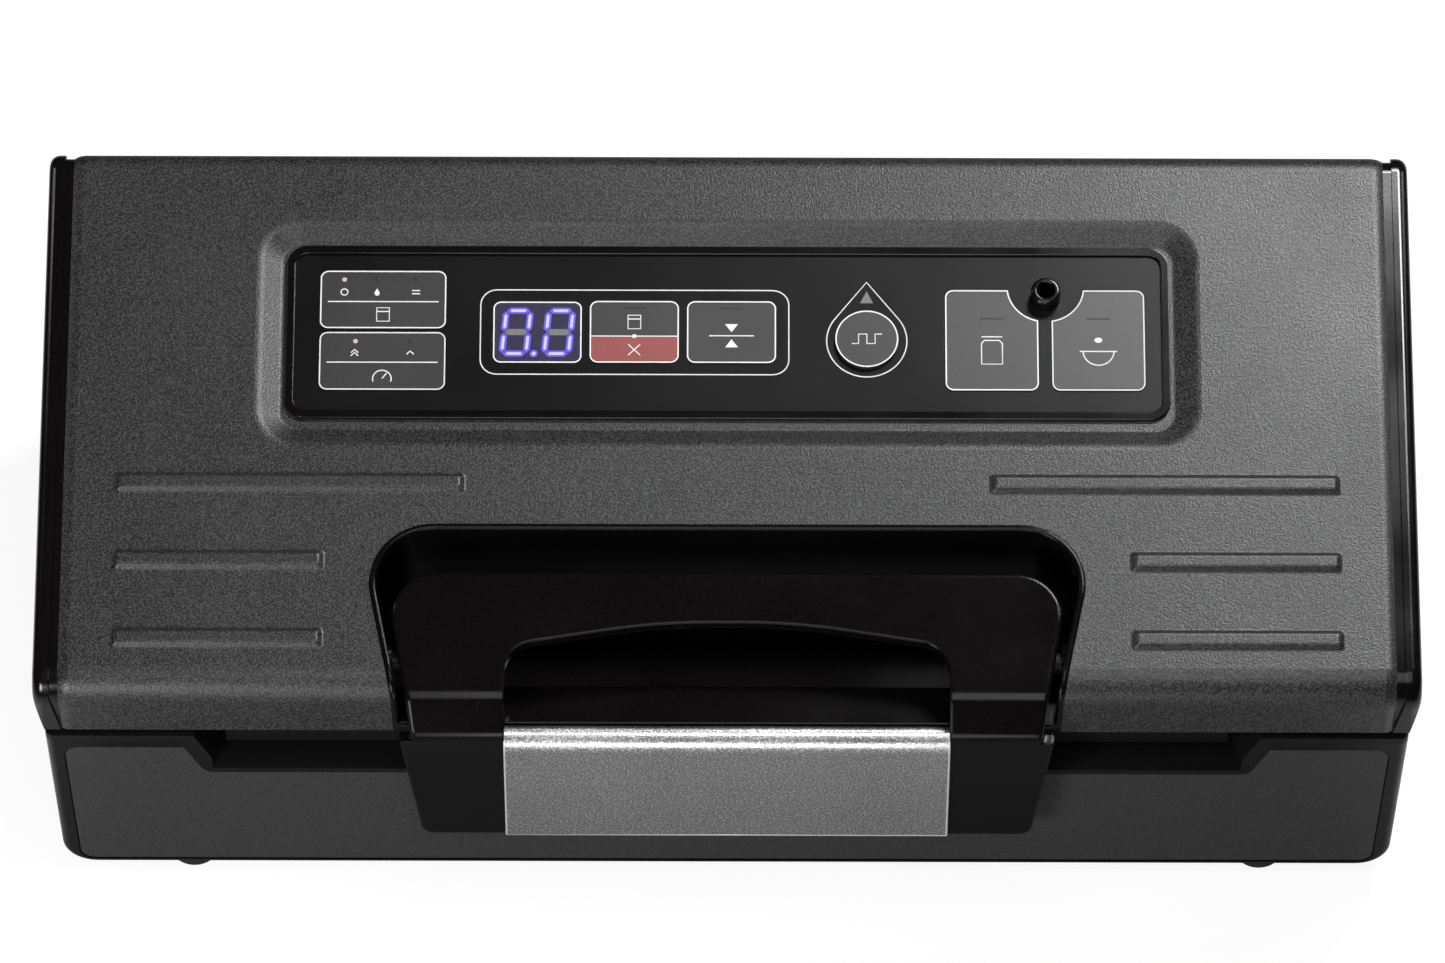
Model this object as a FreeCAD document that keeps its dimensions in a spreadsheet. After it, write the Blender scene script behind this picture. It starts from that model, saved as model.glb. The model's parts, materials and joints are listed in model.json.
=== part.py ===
import FreeCAD, Part
import math
import os
import re
import Sketcher

V = FreeCAD.Vector

# Nearer than this, in millimetres, two places count as one
TOUCH = 0.001

doc = FreeCAD.newDocument("vacuum_sealer")

# Driving dimensions, in millimetres and degrees: value and meaning
DIMENSIONS = {
    # Overall size and shells
    "overall_width": (418, "across the lid's end caps"),
    "overall_depth": (194, "from the grip's face to the lid's back"),
    "foot_height": (5, "rubber foot under the base"),
    "base_height": (69.3, "base shell, floor to rim"),
    "deck_flange": (2.5, "rim of the deck that lies on the base shell"),
    "lid_gap": (2.7, "gap between the deck and the closed lid"),
    "lid_front_rise": (21, "lid's lower edge up to its front corner"),
    "lid_slope": (9, "slope of the lid's top, degrees"),
    "lid_roll": (10, "outer radius of the lid's front bend"),
    "lid_back_roll": (7, "outer radius of the lid's back bend"),
    "skin_thickness": (1, "lid's sheet steel"),
    "wall": (2.5, "moulded plastic wall"),
    "handle_proud": (11.5, "grip's face in front of the lid"),
    "cap_width": (5, "end cap beyond the end of the skin"),
    "cap_round": (3.2, "rounding of the end cap's outer edge"),
    "end_lean": (3, "how far the lid's ends lean in at the bottom"),
    "end_lean_rise": (15.5, "height over which they lean"),
    "lip_wall": (2, "end cap's rim inside the skin"),
    "lip_depth": (6, "how far that rim reaches in"),
    "base_side_inset": (3, "base's rim behind the end cap's face"),
    "base_lean": (2.6, "draft of the base's sides"),
    "base_corner": (10.5, "bottom corners of the base"),
    "base_edge_round": (2.5, "edge around the base's front and back"),
    "base_front_proud": (0.5, "base in front of the lid skin"),
    "base_rear_inset": (9, "base's back in front of the lid's back"),
    "fit_gap": (0.3, "clearance between pieces that move past each other"),
    "snug_gap": (0.1, "clearance between pieces fixed together"),
    "shaft_gap": (0.05, "radial clearance of a shaft in its hole"),
    # Pressed lid
    "dish_side": (8, "dish beyond the bezel at its ends"),
    "dish_front": (9.9, "dish beyond the bezel at its front"),
    "dish_rear": (7.4, "dish beyond the bezel at its back"),
    "dish_depth": (3, "dish's depth"),
    "dish_run": (6.5, "width of the dish's sloped border"),
    "dish_corner": (6, "dish's corner radius at its floor"),
    "dish_soften": (6, "rounding of the dish's upper edge"),
    "dish_foot": (2.5, "rounding of the dish's lower edge"),
    "rib_inset": (18, "ribs' outer ends in from the skin's end"),
    "rib_long_inner": (79.3, "inner end of the long rib"),
    "rib_short_inner": (121.5, "inner end of the short ribs"),
    "rib_width": (7.3, "rib's width at the skin"),
    "rib_height": (1.5, "rib's height"),
    "rib_taper": (1.8, "slope of the rib's sides"),
    "rib_soften": (1.5, "rounding of the rib's edges"),
    "rib_foot": (1.2, "rounding where the rib leaves the skin"),
    "rib_first": (17.7, "front rib's centre, up the slope"),
    "rib_pitch": (25.9, "from rib to rib"),
    # Handle well
    "well_rear": (55.9, "well's rear edge, up the slope"),
    "well_rear_half": (112.4, "half width at the rear, corners unrounded"),
    "well_taper": (0.198, "narrowing of each side per millimetre forward"),
    "well_corner": (19.5, "rear corner radius"),
    "well_wall": (2, "well's wall"),
    "well_bead": (0.8, "bead around the opening above the skin"),
    "bead_soften": (0.6, "rounding of the bead's edges"),
    "well_shelf_rise": (5.2, "front shelf above the lid's lower edge"),
    "well_shelf_depth": (12.5, "front shelf behind the lid's front"),
    "well_floor_drop": (10.8, "deep floor below the lid's lower edge"),
    # Handle
    "plate_rear": (40, "handle's rear edge, up the slope"),
    "plate_rear_half": (103.7, "half width at the rear, corners unrounded"),
    "plate_taper": (0.171, "narrowing of each side per millimetre forward"),
    "plate_corner": (14, "rear corner radius"),
    "plate_soften": (1.2, "rounding of the handle's upper edge"),
    "handle_thickness": (4, "handle's moulded plate"),
    "handle_mitre": (20, "half of the turn at each of the handle's bends, degrees"),
    "bend_out": (1.5, "upper bend in front of the lid"),
    "shoulder_drop": (9.8, "drop from the upper bend to the lower bend"),
    "upper_bend": (6, "upper bend's outer radius"),
    "lower_bend": (5, "lower bend's outer radius"),
    "grip_proud": (1.5, "grip's face in front of the arms"),
    "handle_drop": (42.3, "handle's lower edge below the lid's"),
    "apron_top_half": (98.5, "half width of the arms' front at the top"),
    "apron_bottom_half": (92.5, "half width of the arms' front at the bottom"),
    "apron_corner": (4, "lower corner radius of the arms"),
    "apron_soften": (0.8, "rounding of the arms' front edges"),
    "grip_half": (67, "half length of the grip"),
    "grip_rise": (11.4, "grip's top above the lid's lower edge"),
    "grip_roll": (6, "rounding of the grip's upper front edge"),
    "grip_heel": (3.2, "rounding of the grip's lower front edge"),
    "grip_back_roll": (3, "rounding of the grip's upper back edge"),
    "grip_depth": (7.5, "grip, front to back"),
    "grip_skin": (1.4, "grip's wall"),
    "finger_rear": (23.1, "finger opening's rear edge, up the slope"),
    "finger_side_rear": (15.5, "rear edge at the opening's sides"),
    "finger_flat": (20, "half length of the straight rear edge"),
    "finger_corner": (10, "finger opening's rear corners"),
    "finger_arch": (190, "rounding between its straight rear edge and its sides"),
    # Latch
    "pivot_back": (15.5, "handle's axis behind the lid's front"),
    "pivot_rise": (14.2, "handle's axis above the lid's lower edge"),
    "shaft_radius": (3, "latch shaft"),
    "shaft_inner": (86, "inner end of the shaft"),
    "lug_inner": (88, "handle lug's inner face"),
    "lug_width": (8, "handle lug"),
    "lug_radius": (5.4, "handle lug around the shaft"),
    "boss_width": (6.5, "bearing boss in the well's side"),
    "boss_radius": (6, "bearing boss"),
    "post_inset": (19, "outer bearing post in from the lid's end"),
    "post_width": (6, "outer bearing post"),
    "post_half": (5, "outer bearing post, half of its depth"),
    "hook_inset": (29, "latch hook in from the lid's end"),
    "hook_width": (4, "latch hook's thickness"),
    "hook_shank": (7, "latch hook's shank, front to back"),
    "hook_hub": (6, "latch hook's hub radius"),
    "nose_reach": (7.5, "hook's nose behind the axis"),
    "nose_height": (4, "hook's nose"),
    "catch_drop": (1.7, "catch leaf below the deck's rim"),
    "catch_thickness": (0.8, "catch leaf"),
    "catch_bite": (4, "overlap of nose and leaf"),
    "catch_width": (8, "catch leaf"),
    "catch_length": (12.5, "catch leaf, front to back"),
    "catch_root": (6, "fixed end of the leaf"),
    "latch_slot_width": (10, "slot for the hook in the deck and underside"),
    "latch_slot_front": (12, "slot in front of the axis"),
    "latch_slot_back": (9, "slot behind the axis"),
    "spring_start": (109, "inner end of the handle's spring"),
    "spring_length": (12, "handle's spring"),
    "spring_pitch": (2.4, "from coil to coil"),
    "spring_radius": (4.6, "coil's mean radius"),
    "spring_wire": (0.8, "wire's radius"),
    # Control panel
    "panel_side": (5, "face plate beyond the right keys"),
    "bezel_low": (92.3, "bezel's front edge, up the slope"),
    "panel_rear": (5.7, "face plate beyond the mode key"),
    "bezel_rim": (2.7, "bezel's visible rim"),
    "bezel_corner": (6.5, "bezel's corner radius"),
    "bezel_rise": (1.2, "bezel above the dish's floor"),
    "bezel_skirt": (7.5, "bezel's skirt below the dish's floor"),
    "bezel_skirt_inset": (1.3, "skirt behind the bezel's edge"),
    "bezel_ledge": (1.5, "ledge that carries the fascia"),
    "fascia_sink": (0.8, "fascia below the bezel's rim"),
    "fascia_thickness": (2, "fascia"),
    "fascia_corner": (4, "fascia's corner radius"),
    "key_proud": (0.4, "keys above the fascia"),
    "key_travel": (0.8, "keys' travel"),
    "key_gap": (0.25, "key in its hole"),
    "key_lip": (0.2, "lip that keeps the key in, beyond its hole"),
    "key_lip_height": (0.8, "that lip's thickness"),
    "key_corner": (2.5, "keys' corner radius"),
    "left_key_inset": (7.6, "mode and pressure keys in from the face plate's end"),
    "left_key_width": (38.5, "mode and pressure keys"),
    "left_key_front": (7, "pressure key behind the face plate's front"),
    "left_key_height": (19.6, "mode and pressure keys"),
    "left_key_pitch": (20.9, "from the pressure key to the mode key"),
    "middle_front": (16.4, "display and middle keys behind the face plate's front"),
    "middle_height": (21, "display and middle keys"),
    "display_offset": (14.4, "from the left keys to the display"),
    "display_width": (27.2, "display"),
    "middle_key_offset": (2.4, "from the display to the vacuum key"),
    "middle_key_width": (27.2, "vacuum and seal keys"),
    "middle_key_pitch": (29.7, "from the vacuum key to the seal key"),
    "pulse_centre": (42.4, "round key, across"),
    "pulse_front": (24.2, "round key's middle behind the face plate's front"),
    "pulse_radius": (9.6, "round key"),
    "pulse_proud": (1.5, "round key above the fascia"),
    "right_key_start": (66.4, "canister key's left edge"),
    "right_key_width": (28.4, "canister and marinate keys"),
    "right_key_pitch": (32.5, "from the canister key to the marinate key"),
    "right_key_front": (7.3, "canister and marinate keys behind the face plate's front"),
    "right_key_height": (34.1, "canister and marinate keys"),
    "bite_front": (42.4, "round bite's middle behind the face plate's front"),
    "bite_radius": (11.5, "round bite in the right keys"),
    "port_across": (97.1, "hose port, across"),
    "port_front": (39.2, "hose port behind the face plate's front"),
    "port_radius": (4.6, "hose port"),
    "port_bore": (2.8, "hose port's bore"),
    "port_soften": (1, "rounding of the hose port's tip"),
    "port_rise": (5, "hose port above the fascia"),
    "port_flange": (6.5, "hose port's flange under the fascia"),
    "port_flange_height": (1.2, "that flange"),
    "port_tail": (9, "hose port's tail below its flange"),
    "port_tail_radius": (3.9, "hose port's tail"),
    "mat_edge": (2, "switch mat beyond the keys"),
    "mat_thickness": (0.8, "switch mat"),
    "dome_radius": (3.5, "dome under each key"),
    "dome_height": (0.7, "dome under each key"),
    "dome_inset": (8.75, "dome's centre from its key's front edge"),
    "board_thickness": (1.6, "circuit boards"),
    "module_inset": (1.6, "display module behind its window's edge"),
    "window_thickness": (1.8, "display window"),
    "board_hole": (7.5, "hole for the port in mat and board"),
    # Lid's underside and sealing
    "platform_gap": (1.5, "platform's ends clear of the bag's place"),
    "platform_front": (7, "platform behind the lid's front"),
    "platform_length": (75.5, "platform, front to back"),
    "seal_room": (4.3, "platform above the deck's floor"),
    "gasket_width": (5, "gaskets' strip"),
    "gasket_corner": (9, "gaskets' outer corner radius"),
    "gasket_front": (28.5, "gaskets behind the lid's front"),
    "gasket_length": (52, "gaskets, front to back"),
    "gasket_groove": (1.4, "gaskets' seat"),
    "gasket_rise": (1.6, "lower gasket above the deck's floor"),
    "gasket_inset": (1.5, "upper gasket behind the platform's end"),
    "pad_front": (13, "seal pad behind the lid's front"),
    "pad_width": (8, "seal pad"),
    "pad_inset": (3.5, "seal pad and bar in from the bag's place"),
    "spigot_y": (71.5, "vacuum spigot behind the lid's front"),
    "spigot_radius": (3.2, "vacuum spigots"),
    "spigot_bore": (2, "vacuum spigots' bore"),
    "spigot_height": (7, "vacuum spigots"),
    "hose_radius": (5, "hoses"),
    "hose_bend": (8, "hoses' bend radius"),
    "hose_level": (9, "lid hose above the underside"),
    # Hinge
    "hinge_inset": (6, "hinge axis in front of the lid's back"),
    "hinge_rise": (0.7, "hinge axis above the lid's lower edge"),
    "hinge_centre": (130, "hinges, across"),
    "pin_radius": (2.5, "hinge pin"),
    "knuckle_radius": (4.5, "hinge knuckles"),
    "knuckle_half": (6, "lid's knuckle, half of its width"),
    "lug_thickness": (6, "deck's hinge lugs"),
    "lug_root": (9, "deck's hinge lugs in front of the axis"),
    # Deck and sealing chamber
    "floor_drop": (20.5, "deck's floor below the lid's lower edge"),
    "bowl_margin": (52.5, "bag's place in from the base's side, at its floor"),
    "mouth_flare": (2.5, "widening of the bag's place at the front"),
    "bowl_funnel": (12, "length over which it narrows"),
    "bowl_flare": (0.436, "flare of its sides per millimetre of height"),
    "bowl_back": (84.5, "its back wall behind the lid's front"),
    "notch_corner": (4, "rounding of the lower corners of its shell"),
    "deck_wall": (2.2, "deck's wall"),
    "trough_inset": (10.5, "vacuum trough's ends in from the bag's place"),
    "trough_front": (36.5, "trough behind the lid's front"),
    "trough_length": (36, "trough, front to back"),
    "trough_depth": (14, "trough"),
    "trough_corner": (9, "trough's corner radius"),
    "outlet_x": (110, "vacuum outlet, across"),
    "bar_front": (12.5, "seal bar behind the lid's front"),
    "bar_width": (9, "seal bar"),
    "bar_height": (6, "seal bar"),
    "bar_rise": (0.4, "seal bar above the floor"),
    "element_width": (3, "heating element"),
    "element_thickness": (0.3, "heating element"),
    "tape_width": (8, "seal tape"),
    "tape_thickness": (0.25, "seal tape"),
    # Front panel
    "panel_inset": (5.4, "front panel behind the base's side"),
    "panel_top_inset": (4.2, "front panel below the base's rim"),
    "panel_bottom_inset": (3.1, "front panel above the base's bottom"),
    "panel_corner": (4.5, "front panel's corner radius"),
    "panel_thickness": (1.2, "front panel"),
    "panel_sink": (0.3, "front panel behind the base's face"),
    "panel_gap": (0.35, "gap around the front panel"),
    # Inside the base
    "pump_inset": (43, "pump axis in front of the base's back"),
    "pump_clear": (6.1, "pump head below the deck"),
    "motor_radius": (18, "pump motor"),
    "motor_length": (69, "pump motor"),
    "case_start": (24, "pump crankcase's left face"),
    "case_length": (40, "pump crankcase"),
    "case_half": (20, "pump crankcase, half of its depth"),
    "isolator_height": (4.5, "rubber isolator"),
    "case_cavity": (15, "crank space's radius"),
    "case_wall": (4, "crankcase's end walls"),
    "head_height": (8, "pump head"),
    "head_inset": (5, "pump head behind the crankcase's edge"),
    "drive_radius": (3, "pump shaft"),
    "drive_tail": (14, "pump shaft beyond the motor's left end"),
    "eccentric_radius": (9, "eccentric disc"),
    "eccentric_offset": (3, "eccentric disc off its axis"),
    "eccentric_width": (16, "eccentric disc"),
    "fan_radius": (17, "cooling fan"),
    "fan_hub": (7, "cooling fan's hub"),
    "fan_width": (8, "cooling fan"),
    "fan_blade": (1.5, "cooling fan's blade thickness"),
    "fan_blades": (7, "cooling fan's blades"),
    "fan_room": (3, "cooling fan from the motor"),
    "bracket_thickness": (2, "pump bracket"),
    "bracket_half": (25, "pump bracket, half of its depth"),
    "bracket_margin": (6, "pump bracket beyond the pump"),
    "cradle_height": (7, "motor cradle on the bracket"),
    "cradle_half": (12, "motor cradle, half of its depth"),
    "cradle_width": (10, "motor cradle"),
    "isolator_radius": (5.5, "rubber isolator"),
    "isolator_inset": (8, "isolator's centre from the bracket's edge"),
    "valve_size": (18, "vacuum valve's body"),
    "valve_drop": (8.6, "vacuum valve's middle below the trough's outlet"),
    "valve_coil": (7.5, "valve coil's radius"),
    "valve_coil_length": (20, "valve coil"),
    "board_side": (26, "power board in from the base's left side"),
    "board_width": (95, "power board"),
    "board_rear": (16, "power board in front of the base's back"),
    "board_depth": (58, "power board"),
    "board_level": (14, "power board above the table"),
    "standoff_radius": (3.5, "power board's standoffs"),
    "standoff_inset": (5, "standoffs from the board's edge"),
    "transformer_width": (46, "transformer"),
    "transformer_depth": (38, "transformer"),
    "transformer_height": (36, "transformer"),
    "transformer_inset": (8, "transformer from the board's edge"),
    "winding_inset": (7, "transformer's winding inside its core"),
    "inlet_inset": (86, "power inlet's middle in from the base's left side"),
    "inlet_z": (40, "power inlet above the table"),
    "inlet_half": (12, "power inlet's socket, half of its width"),
    "inlet_half_height": (8.5, "power inlet's socket, half of its height"),
    "inlet_depth": (15, "power inlet's socket"),
    "inlet_wall": (2, "power inlet's wall"),
    "inlet_flange": (5, "power inlet's flange around the socket"),
    "inlet_flange_thickness": (2, "power inlet's flange"),
    "inlet_pitch": (7, "from contact to contact"),
    "inlet_contact": (2, "contact blade's thickness"),
    "foot_radius": (8, "rubber foot"),
    "foot_side_inset": (42, "feet in from the base's side"),
    "foot_inset": (10, "feet from the base's front and back"),
    "foot_stem": (3, "foot's stem"),
    "foot_barb": (4, "barb that holds the foot"),
    "foot_soften": (1.2, "rounding of the foot"),
    "vent_count": (9, "vent slots in the floor"),
    "vent_pitch": (9, "from vent to vent"),
    "vent_width": (3.5, "vent slot"),
    "vent_length": (42, "vent slot"),
    "screw_post_inset": (15, "deck's screw posts in from the base's side"),
    "post_front_inset": (48, "front screw posts behind the base's front"),
    "post_back_inset": (30, "back screw posts in front of the base's back"),
    "screw_post": (4.2, "screw posts' radius"),
    "screw_seat": (9, "screw seat above the base's bottom"),
    "screw_head": (3, "screw heads' radius"),
    "screw_head_height": (2, "screw heads"),
    "screw_shank": (1.5, "screw shanks' radius"),
    "screw_length": (12, "base screws' shanks"),
    "lid_screw_inset": (5, "lid screws from the underside's end"),
    "lid_screw_y": (20, "middle lid screw"),
    "lid_screw_pitch": (50, "from lid screw to lid screw"),
    "tab_thickness": (4, "end cap's screw tabs"),
    "tab_half": (5, "end cap's screw tabs, half of their depth"),
}

# Levels and planes worked out from the driving dimensions
LAYOUT = {
    "front_limit": "-overall_depth / 2",
    "lid_front": "front_limit + handle_proud",
    "lid_back": "overall_depth / 2",
    "base_front": "lid_front - base_front_proud",
    "base_back": "lid_back - base_rear_inset",
    "base_top": "foot_height + base_height",
    "base_floor": "foot_height + wall",
    "deck_top": "base_top + deck_flange",
    "lid_bottom": "deck_top + lid_gap",
    "lid_corner": "lid_bottom + lid_front_rise",
    "lid_peak": "lid_corner + (lid_back - lid_front) * tan(lid_slope)",
    "lid_half": "overall_width / 2",
    "skin_half": "lid_half - cap_width",
    "base_half": "lid_half - base_side_inset",
    "under_low": "lid_bottom + fit_gap",
    "under_top": "under_low + wall",
    "under_half": "skin_half - lip_depth - 2 * fit_gap",
    "pivot_y": "lid_front + pivot_back",
    "pivot_z": "lid_bottom + pivot_rise",
    "shelf_z": "lid_bottom + well_shelf_rise",
    "well_floor_z": "lid_bottom - well_floor_drop",
    "bend_y": "lid_front - bend_out",
    "bend_z": "lid_corner - bend_out * tan(lid_slope)",
    "apron_y": "front_limit + grip_proud",
    "apron_z": "bend_z - shoulder_drop",
    "handle_low": "lid_bottom - handle_drop",
    "grip_top": "lid_bottom + grip_rise",
    "core_top": "grip_top - grip_roll - snug_gap",
    "rib_outer": "skin_half - rib_inset",
    "hook_centre": "lid_half - hook_inset",
    "post_centre": "lid_half - post_inset",
    "post_x": "base_half - screw_post_inset",
    "post_front": "base_front + post_front_inset",
    "post_back": "base_back - post_back_inset",
    "foot_x": "base_half - foot_side_inset",
    "deck_floor": "lid_bottom - floor_drop",
    "bowl_half": "base_half - bowl_margin",
    "bowl_mouth": "bowl_half + mouth_flare",
    "platform_half": "bowl_half - platform_gap",
    "gasket_half": "platform_half - gasket_inset",
    "trough_half": "bowl_half - trough_inset",
    "pad_half": "bowl_half - pad_inset",
    "bowl_rear": "lid_front + bowl_back",
    "trough_low": "deck_floor - trough_depth",
    "trough_start": "lid_front + trough_front",
    "trough_end": "trough_start + trough_length",
    "platform_start": "lid_front + platform_front",
    "platform_end": "platform_start + platform_length",
    "platform_low": "deck_floor + seal_room",
    "gasket_start": "lid_front + gasket_front",
    "gasket_end": "gasket_start + gasket_length",
    "gasket_top": "deck_floor + gasket_rise",
    "bar_start": "lid_front + bar_front",
    "bar_end": "bar_start + bar_width",
    "bar_middle": "bar_start + bar_width / 2",
    "bar_top": "deck_floor + bar_rise",
    "tape_top": "bar_top + element_thickness + tape_thickness",
    "fascia_n": "bezel_rise - dish_depth - fascia_sink",
    "fascia_under": "fascia_n - fascia_thickness",
    "key_lip_n": "fascia_under - fit_gap",
    "key_under": "key_lip_n - key_lip_height",
    "dome_n": "key_under - key_travel - fit_gap",
    "mat_n": "dome_n - dome_height",
    "mat_under": "mat_n - mat_thickness",
    "board_n": "mat_under - snug_gap",
    "board_under": "board_n - board_thickness",
    "right_key_end": "right_key_start + right_key_pitch + right_key_width",
    "fascia_half": "right_key_end + panel_side",
    "bezel_half": "fascia_half + bezel_rim",
    "dish_half": "bezel_half + dish_side",
    "fascia_low": "bezel_low + bezel_rim",
    "pressure_key_low": "fascia_low + left_key_front",
    "mode_key_low": "pressure_key_low + left_key_pitch",
    "mode_key_high": "mode_key_low + left_key_height",
    "fascia_high": "mode_key_high + panel_rear",
    "bezel_high": "fascia_high + bezel_rim",
    "dish_low": "bezel_low - dish_front",
    "dish_high": "bezel_high + dish_rear",
    "left_key_start": "left_key_inset - fascia_half",
    "left_key_end": "left_key_start + left_key_width",
    "middle_low": "fascia_low + middle_front",
    "middle_high": "middle_low + middle_height",
    "display_start": "left_key_end + display_offset",
    "display_end": "display_start + display_width",
    "middle_key_start": "display_end + middle_key_offset",
    "pulse_up": "fascia_low + pulse_front",
    "right_key_low": "fascia_low + right_key_front",
    "right_key_high": "right_key_low + right_key_height",
    "bite_up": "fascia_low + bite_front",
    "port_up": "fascia_low + port_front",
    "hinge_y": "lid_back - hinge_inset",
    "hinge_z": "lid_bottom + hinge_rise",
    "catch_low": "base_top - catch_drop",
    "nose_top": "catch_low - fit_gap",
    "nose_low": "nose_top - nose_height",
    "panel_top": "base_top - panel_top_inset",
    "panel_low": "foot_height + panel_bottom_inset",
    "panel_face": "base_front + panel_sink",
    "bracket_top": "base_floor + isolator_height + bracket_thickness",
    "case_half_height": "(base_top - pump_clear - head_height - bracket_top) / 2",
    "pump_y": "base_back - pump_inset",
    "pump_z": "bracket_top + case_half_height",
    "motor_start": "case_start - motor_length",
    "outlet_low": "trough_low - deck_wall - spigot_height",
    "valve_z": "outlet_low - valve_drop",
    "board_start": "board_side - base_half",
    "board_front": "base_back - board_rear - board_depth",
    "inlet_x": "inlet_inset - base_half",
    "case_end": "case_start + case_length",
    "head_z": "pump_z + case_half_height",
    "head_spigot_z": "head_z + head_height / 2",
    "board_top": "board_level + board_thickness",
    "lid_screw_x": "under_half - lid_screw_inset",
    "port_tail_n": "fascia_under - snug_gap - port_flange_height - port_tail",
    "pocket_depth": "panel_sink + panel_thickness + snug_gap",
    "pivot_up": "pivot_back * cos(lid_slope) + (pivot_z - lid_corner) * sin(lid_slope)",
    "well_side": "well_rear_half - well_taper * (well_rear - pivot_up) - snug_gap",
    "shelf_back": "lid_front + well_shelf_depth",
    "well_cut": "2 * lid_front_rise + well_floor_drop",
    "well_reach": "3 * lid_front_rise + well_floor_drop",
}


def make_sheet(name, rows):
    """A spreadsheet with one named cell for each row of (name, cell text, meaning)."""
    sheet = doc.addObject("Spreadsheet::Sheet", name)
    for number, (alias, text, meaning) in enumerate(rows, start=1):
        sheet.set(f"A{number}", alias)
        sheet.set(f"B{number}", text)
        sheet.setAlias(f"B{number}", alias)
        sheet.set(f"C{number}", meaning)
    doc.recompute()
    return sheet


def bind(text):
    """The expression with every sheet name written in full."""

    def full_name(match):
        word = match.group(0)
        if word in DIMENSIONS:
            return f"dims.{word}"
        if word in LAYOUT:
            return f"layout.{word}"
        return word

    return re.sub(r"[a-z_][a-z_0-9]*", full_name, str(text))


dims = make_sheet("dims", [(alias, str(size), note) for alias, (size, note) in DIMENSIONS.items()])
layout = make_sheet("layout", [(alias, "=" + bind(text), "worked out") for alias, text in LAYOUT.items()])


def value(text):
    """What an expression comes to now."""
    return float(layout.evalExpression(bind(text)))


def both(half):
    """A span on both sides of the middle."""
    return (f"-({half})", half)


def around(centre, half):
    """A span on both sides of a centre."""
    return (f"({centre}) - ({half})", f"({centre}) + ({half})")


def move(obj, x, y, z):
    """Bind an object's place."""
    for axis, text in zip("xyz", (x, y, z)):
        obj.setExpression(f"Placement.Base.{axis}", bind(text))
    return obj


def slope_y(up, out):
    """Depth of a point given by its way up the lid's slope and out of its surface."""
    return f"lid_front + ({up}) * cos(lid_slope) - ({out}) * sin(lid_slope)"


def slope_z(up, out):
    """Height of a point given by its way up the lid's slope and out of its surface."""
    return f"lid_corner + ({up}) * sin(lid_slope) + ({out}) * cos(lid_slope)"


def on_slope(obj, x, up, out, turned="0"):
    """Bind an object's place and tilt to the lid's slope."""
    tilt = FreeCAD.Rotation(V(1, 0, 0), value(f"lid_slope + {turned}"))
    obj.Placement = FreeCAD.Placement(V(), tilt)
    move(obj, x, slope_y(up, out), slope_z(up, out))
    obj.setExpression("Placement.Rotation.Angle", bind(f"lid_slope + {turned}"))
    return obj


def box(name, xs, ys, zs):
    """A block given by its span along each axis."""
    obj = doc.addObject("Part::Box", name)
    for side, (low, high) in zip(("Length", "Width", "Height"), (xs, ys, zs)):
        obj.setExpression(side, bind(f"({high}) - ({low})"))
    return move(obj, xs[0], ys[0], zs[0])


TURNS = {
    "X": FreeCAD.Rotation(V(0, 1, 0), 90),
    "Y": FreeCAD.Rotation(V(1, 0, 0), -90),
    "Z": FreeCAD.Rotation(),
}


def cylinder(name, axis, radius, span, at):
    """A cylinder along an axis over a span, with its two other coordinates."""
    obj = doc.addObject("Part::Cylinder", name)
    obj.Placement = FreeCAD.Placement(V(), TURNS[axis])
    obj.setExpression("Radius", bind(radius))
    obj.setExpression("Height", bind(f"({span[1]}) - ({span[0]})"))
    place = list(at)
    place.insert("XYZ".index(axis), span[0])
    return move(obj, *place)


def slope_cylinder(name, radius, x, up, outs):
    """A cylinder square to the lid's slope."""
    obj = doc.addObject("Part::Cylinder", name)
    obj.setExpression("Radius", bind(radius))
    obj.setExpression("Height", bind(f"({outs[1]}) - ({outs[0]})"))
    return on_slope(obj, x, up, outs[0])


NORMALS = {"XY": V(0, 0, 1), "XZ": V(0, 1, 0), "YZ": V(1, 0, 0)}


def draw(sketch, points):
    """A closed outline whose corners are bound to expressions."""
    spots = [(value(first), value(second)) for first, second in points]
    count = len(points)
    for here, there in zip(spots, spots[1:] + spots[:1]):
        sketch.addGeometry(Part.LineSegment(V(*here, 0), V(*there, 0)), False)
    for index in range(count):
        sketch.addConstraint(Sketcher.Constraint("Coincident", index, 2, (index + 1) % count, 1))
    for index, (point, spot) in enumerate(zip(points, spots)):
        for kind, text, size in zip(("DistanceX", "DistanceY"), point, spot):
            number = sketch.addConstraint(Sketcher.Constraint(kind, -1, 1, index, 1, size))
            sketch.setExpression(f"Constraints[{number}]", bind(text))
    return spots


def corner_edges(shape, plane, spots):
    """Names of the straight edges that stand on the given corners of an outline."""
    normal = NORMALS[plane]
    first = V(0, 1, 0) if plane == "YZ" else V(1, 0, 0)
    second = V(0, 1, 0) if plane == "XY" else V(0, 0, 1)
    names = []
    for number, edge in enumerate(shape.Edges, start=1):
        direction = edge.tangentAt(edge.FirstParameter)
        middle = edge.CenterOfMass
        here = (middle.dot(first), middle.dot(second))
        stands = direction.cross(normal).Length < TOUCH
        if stands and any(abs(here[0] - x) + abs(here[1] - y) < TOUCH for x, y in spots):
            names.append(f"Edge{number}")
    return names


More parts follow.
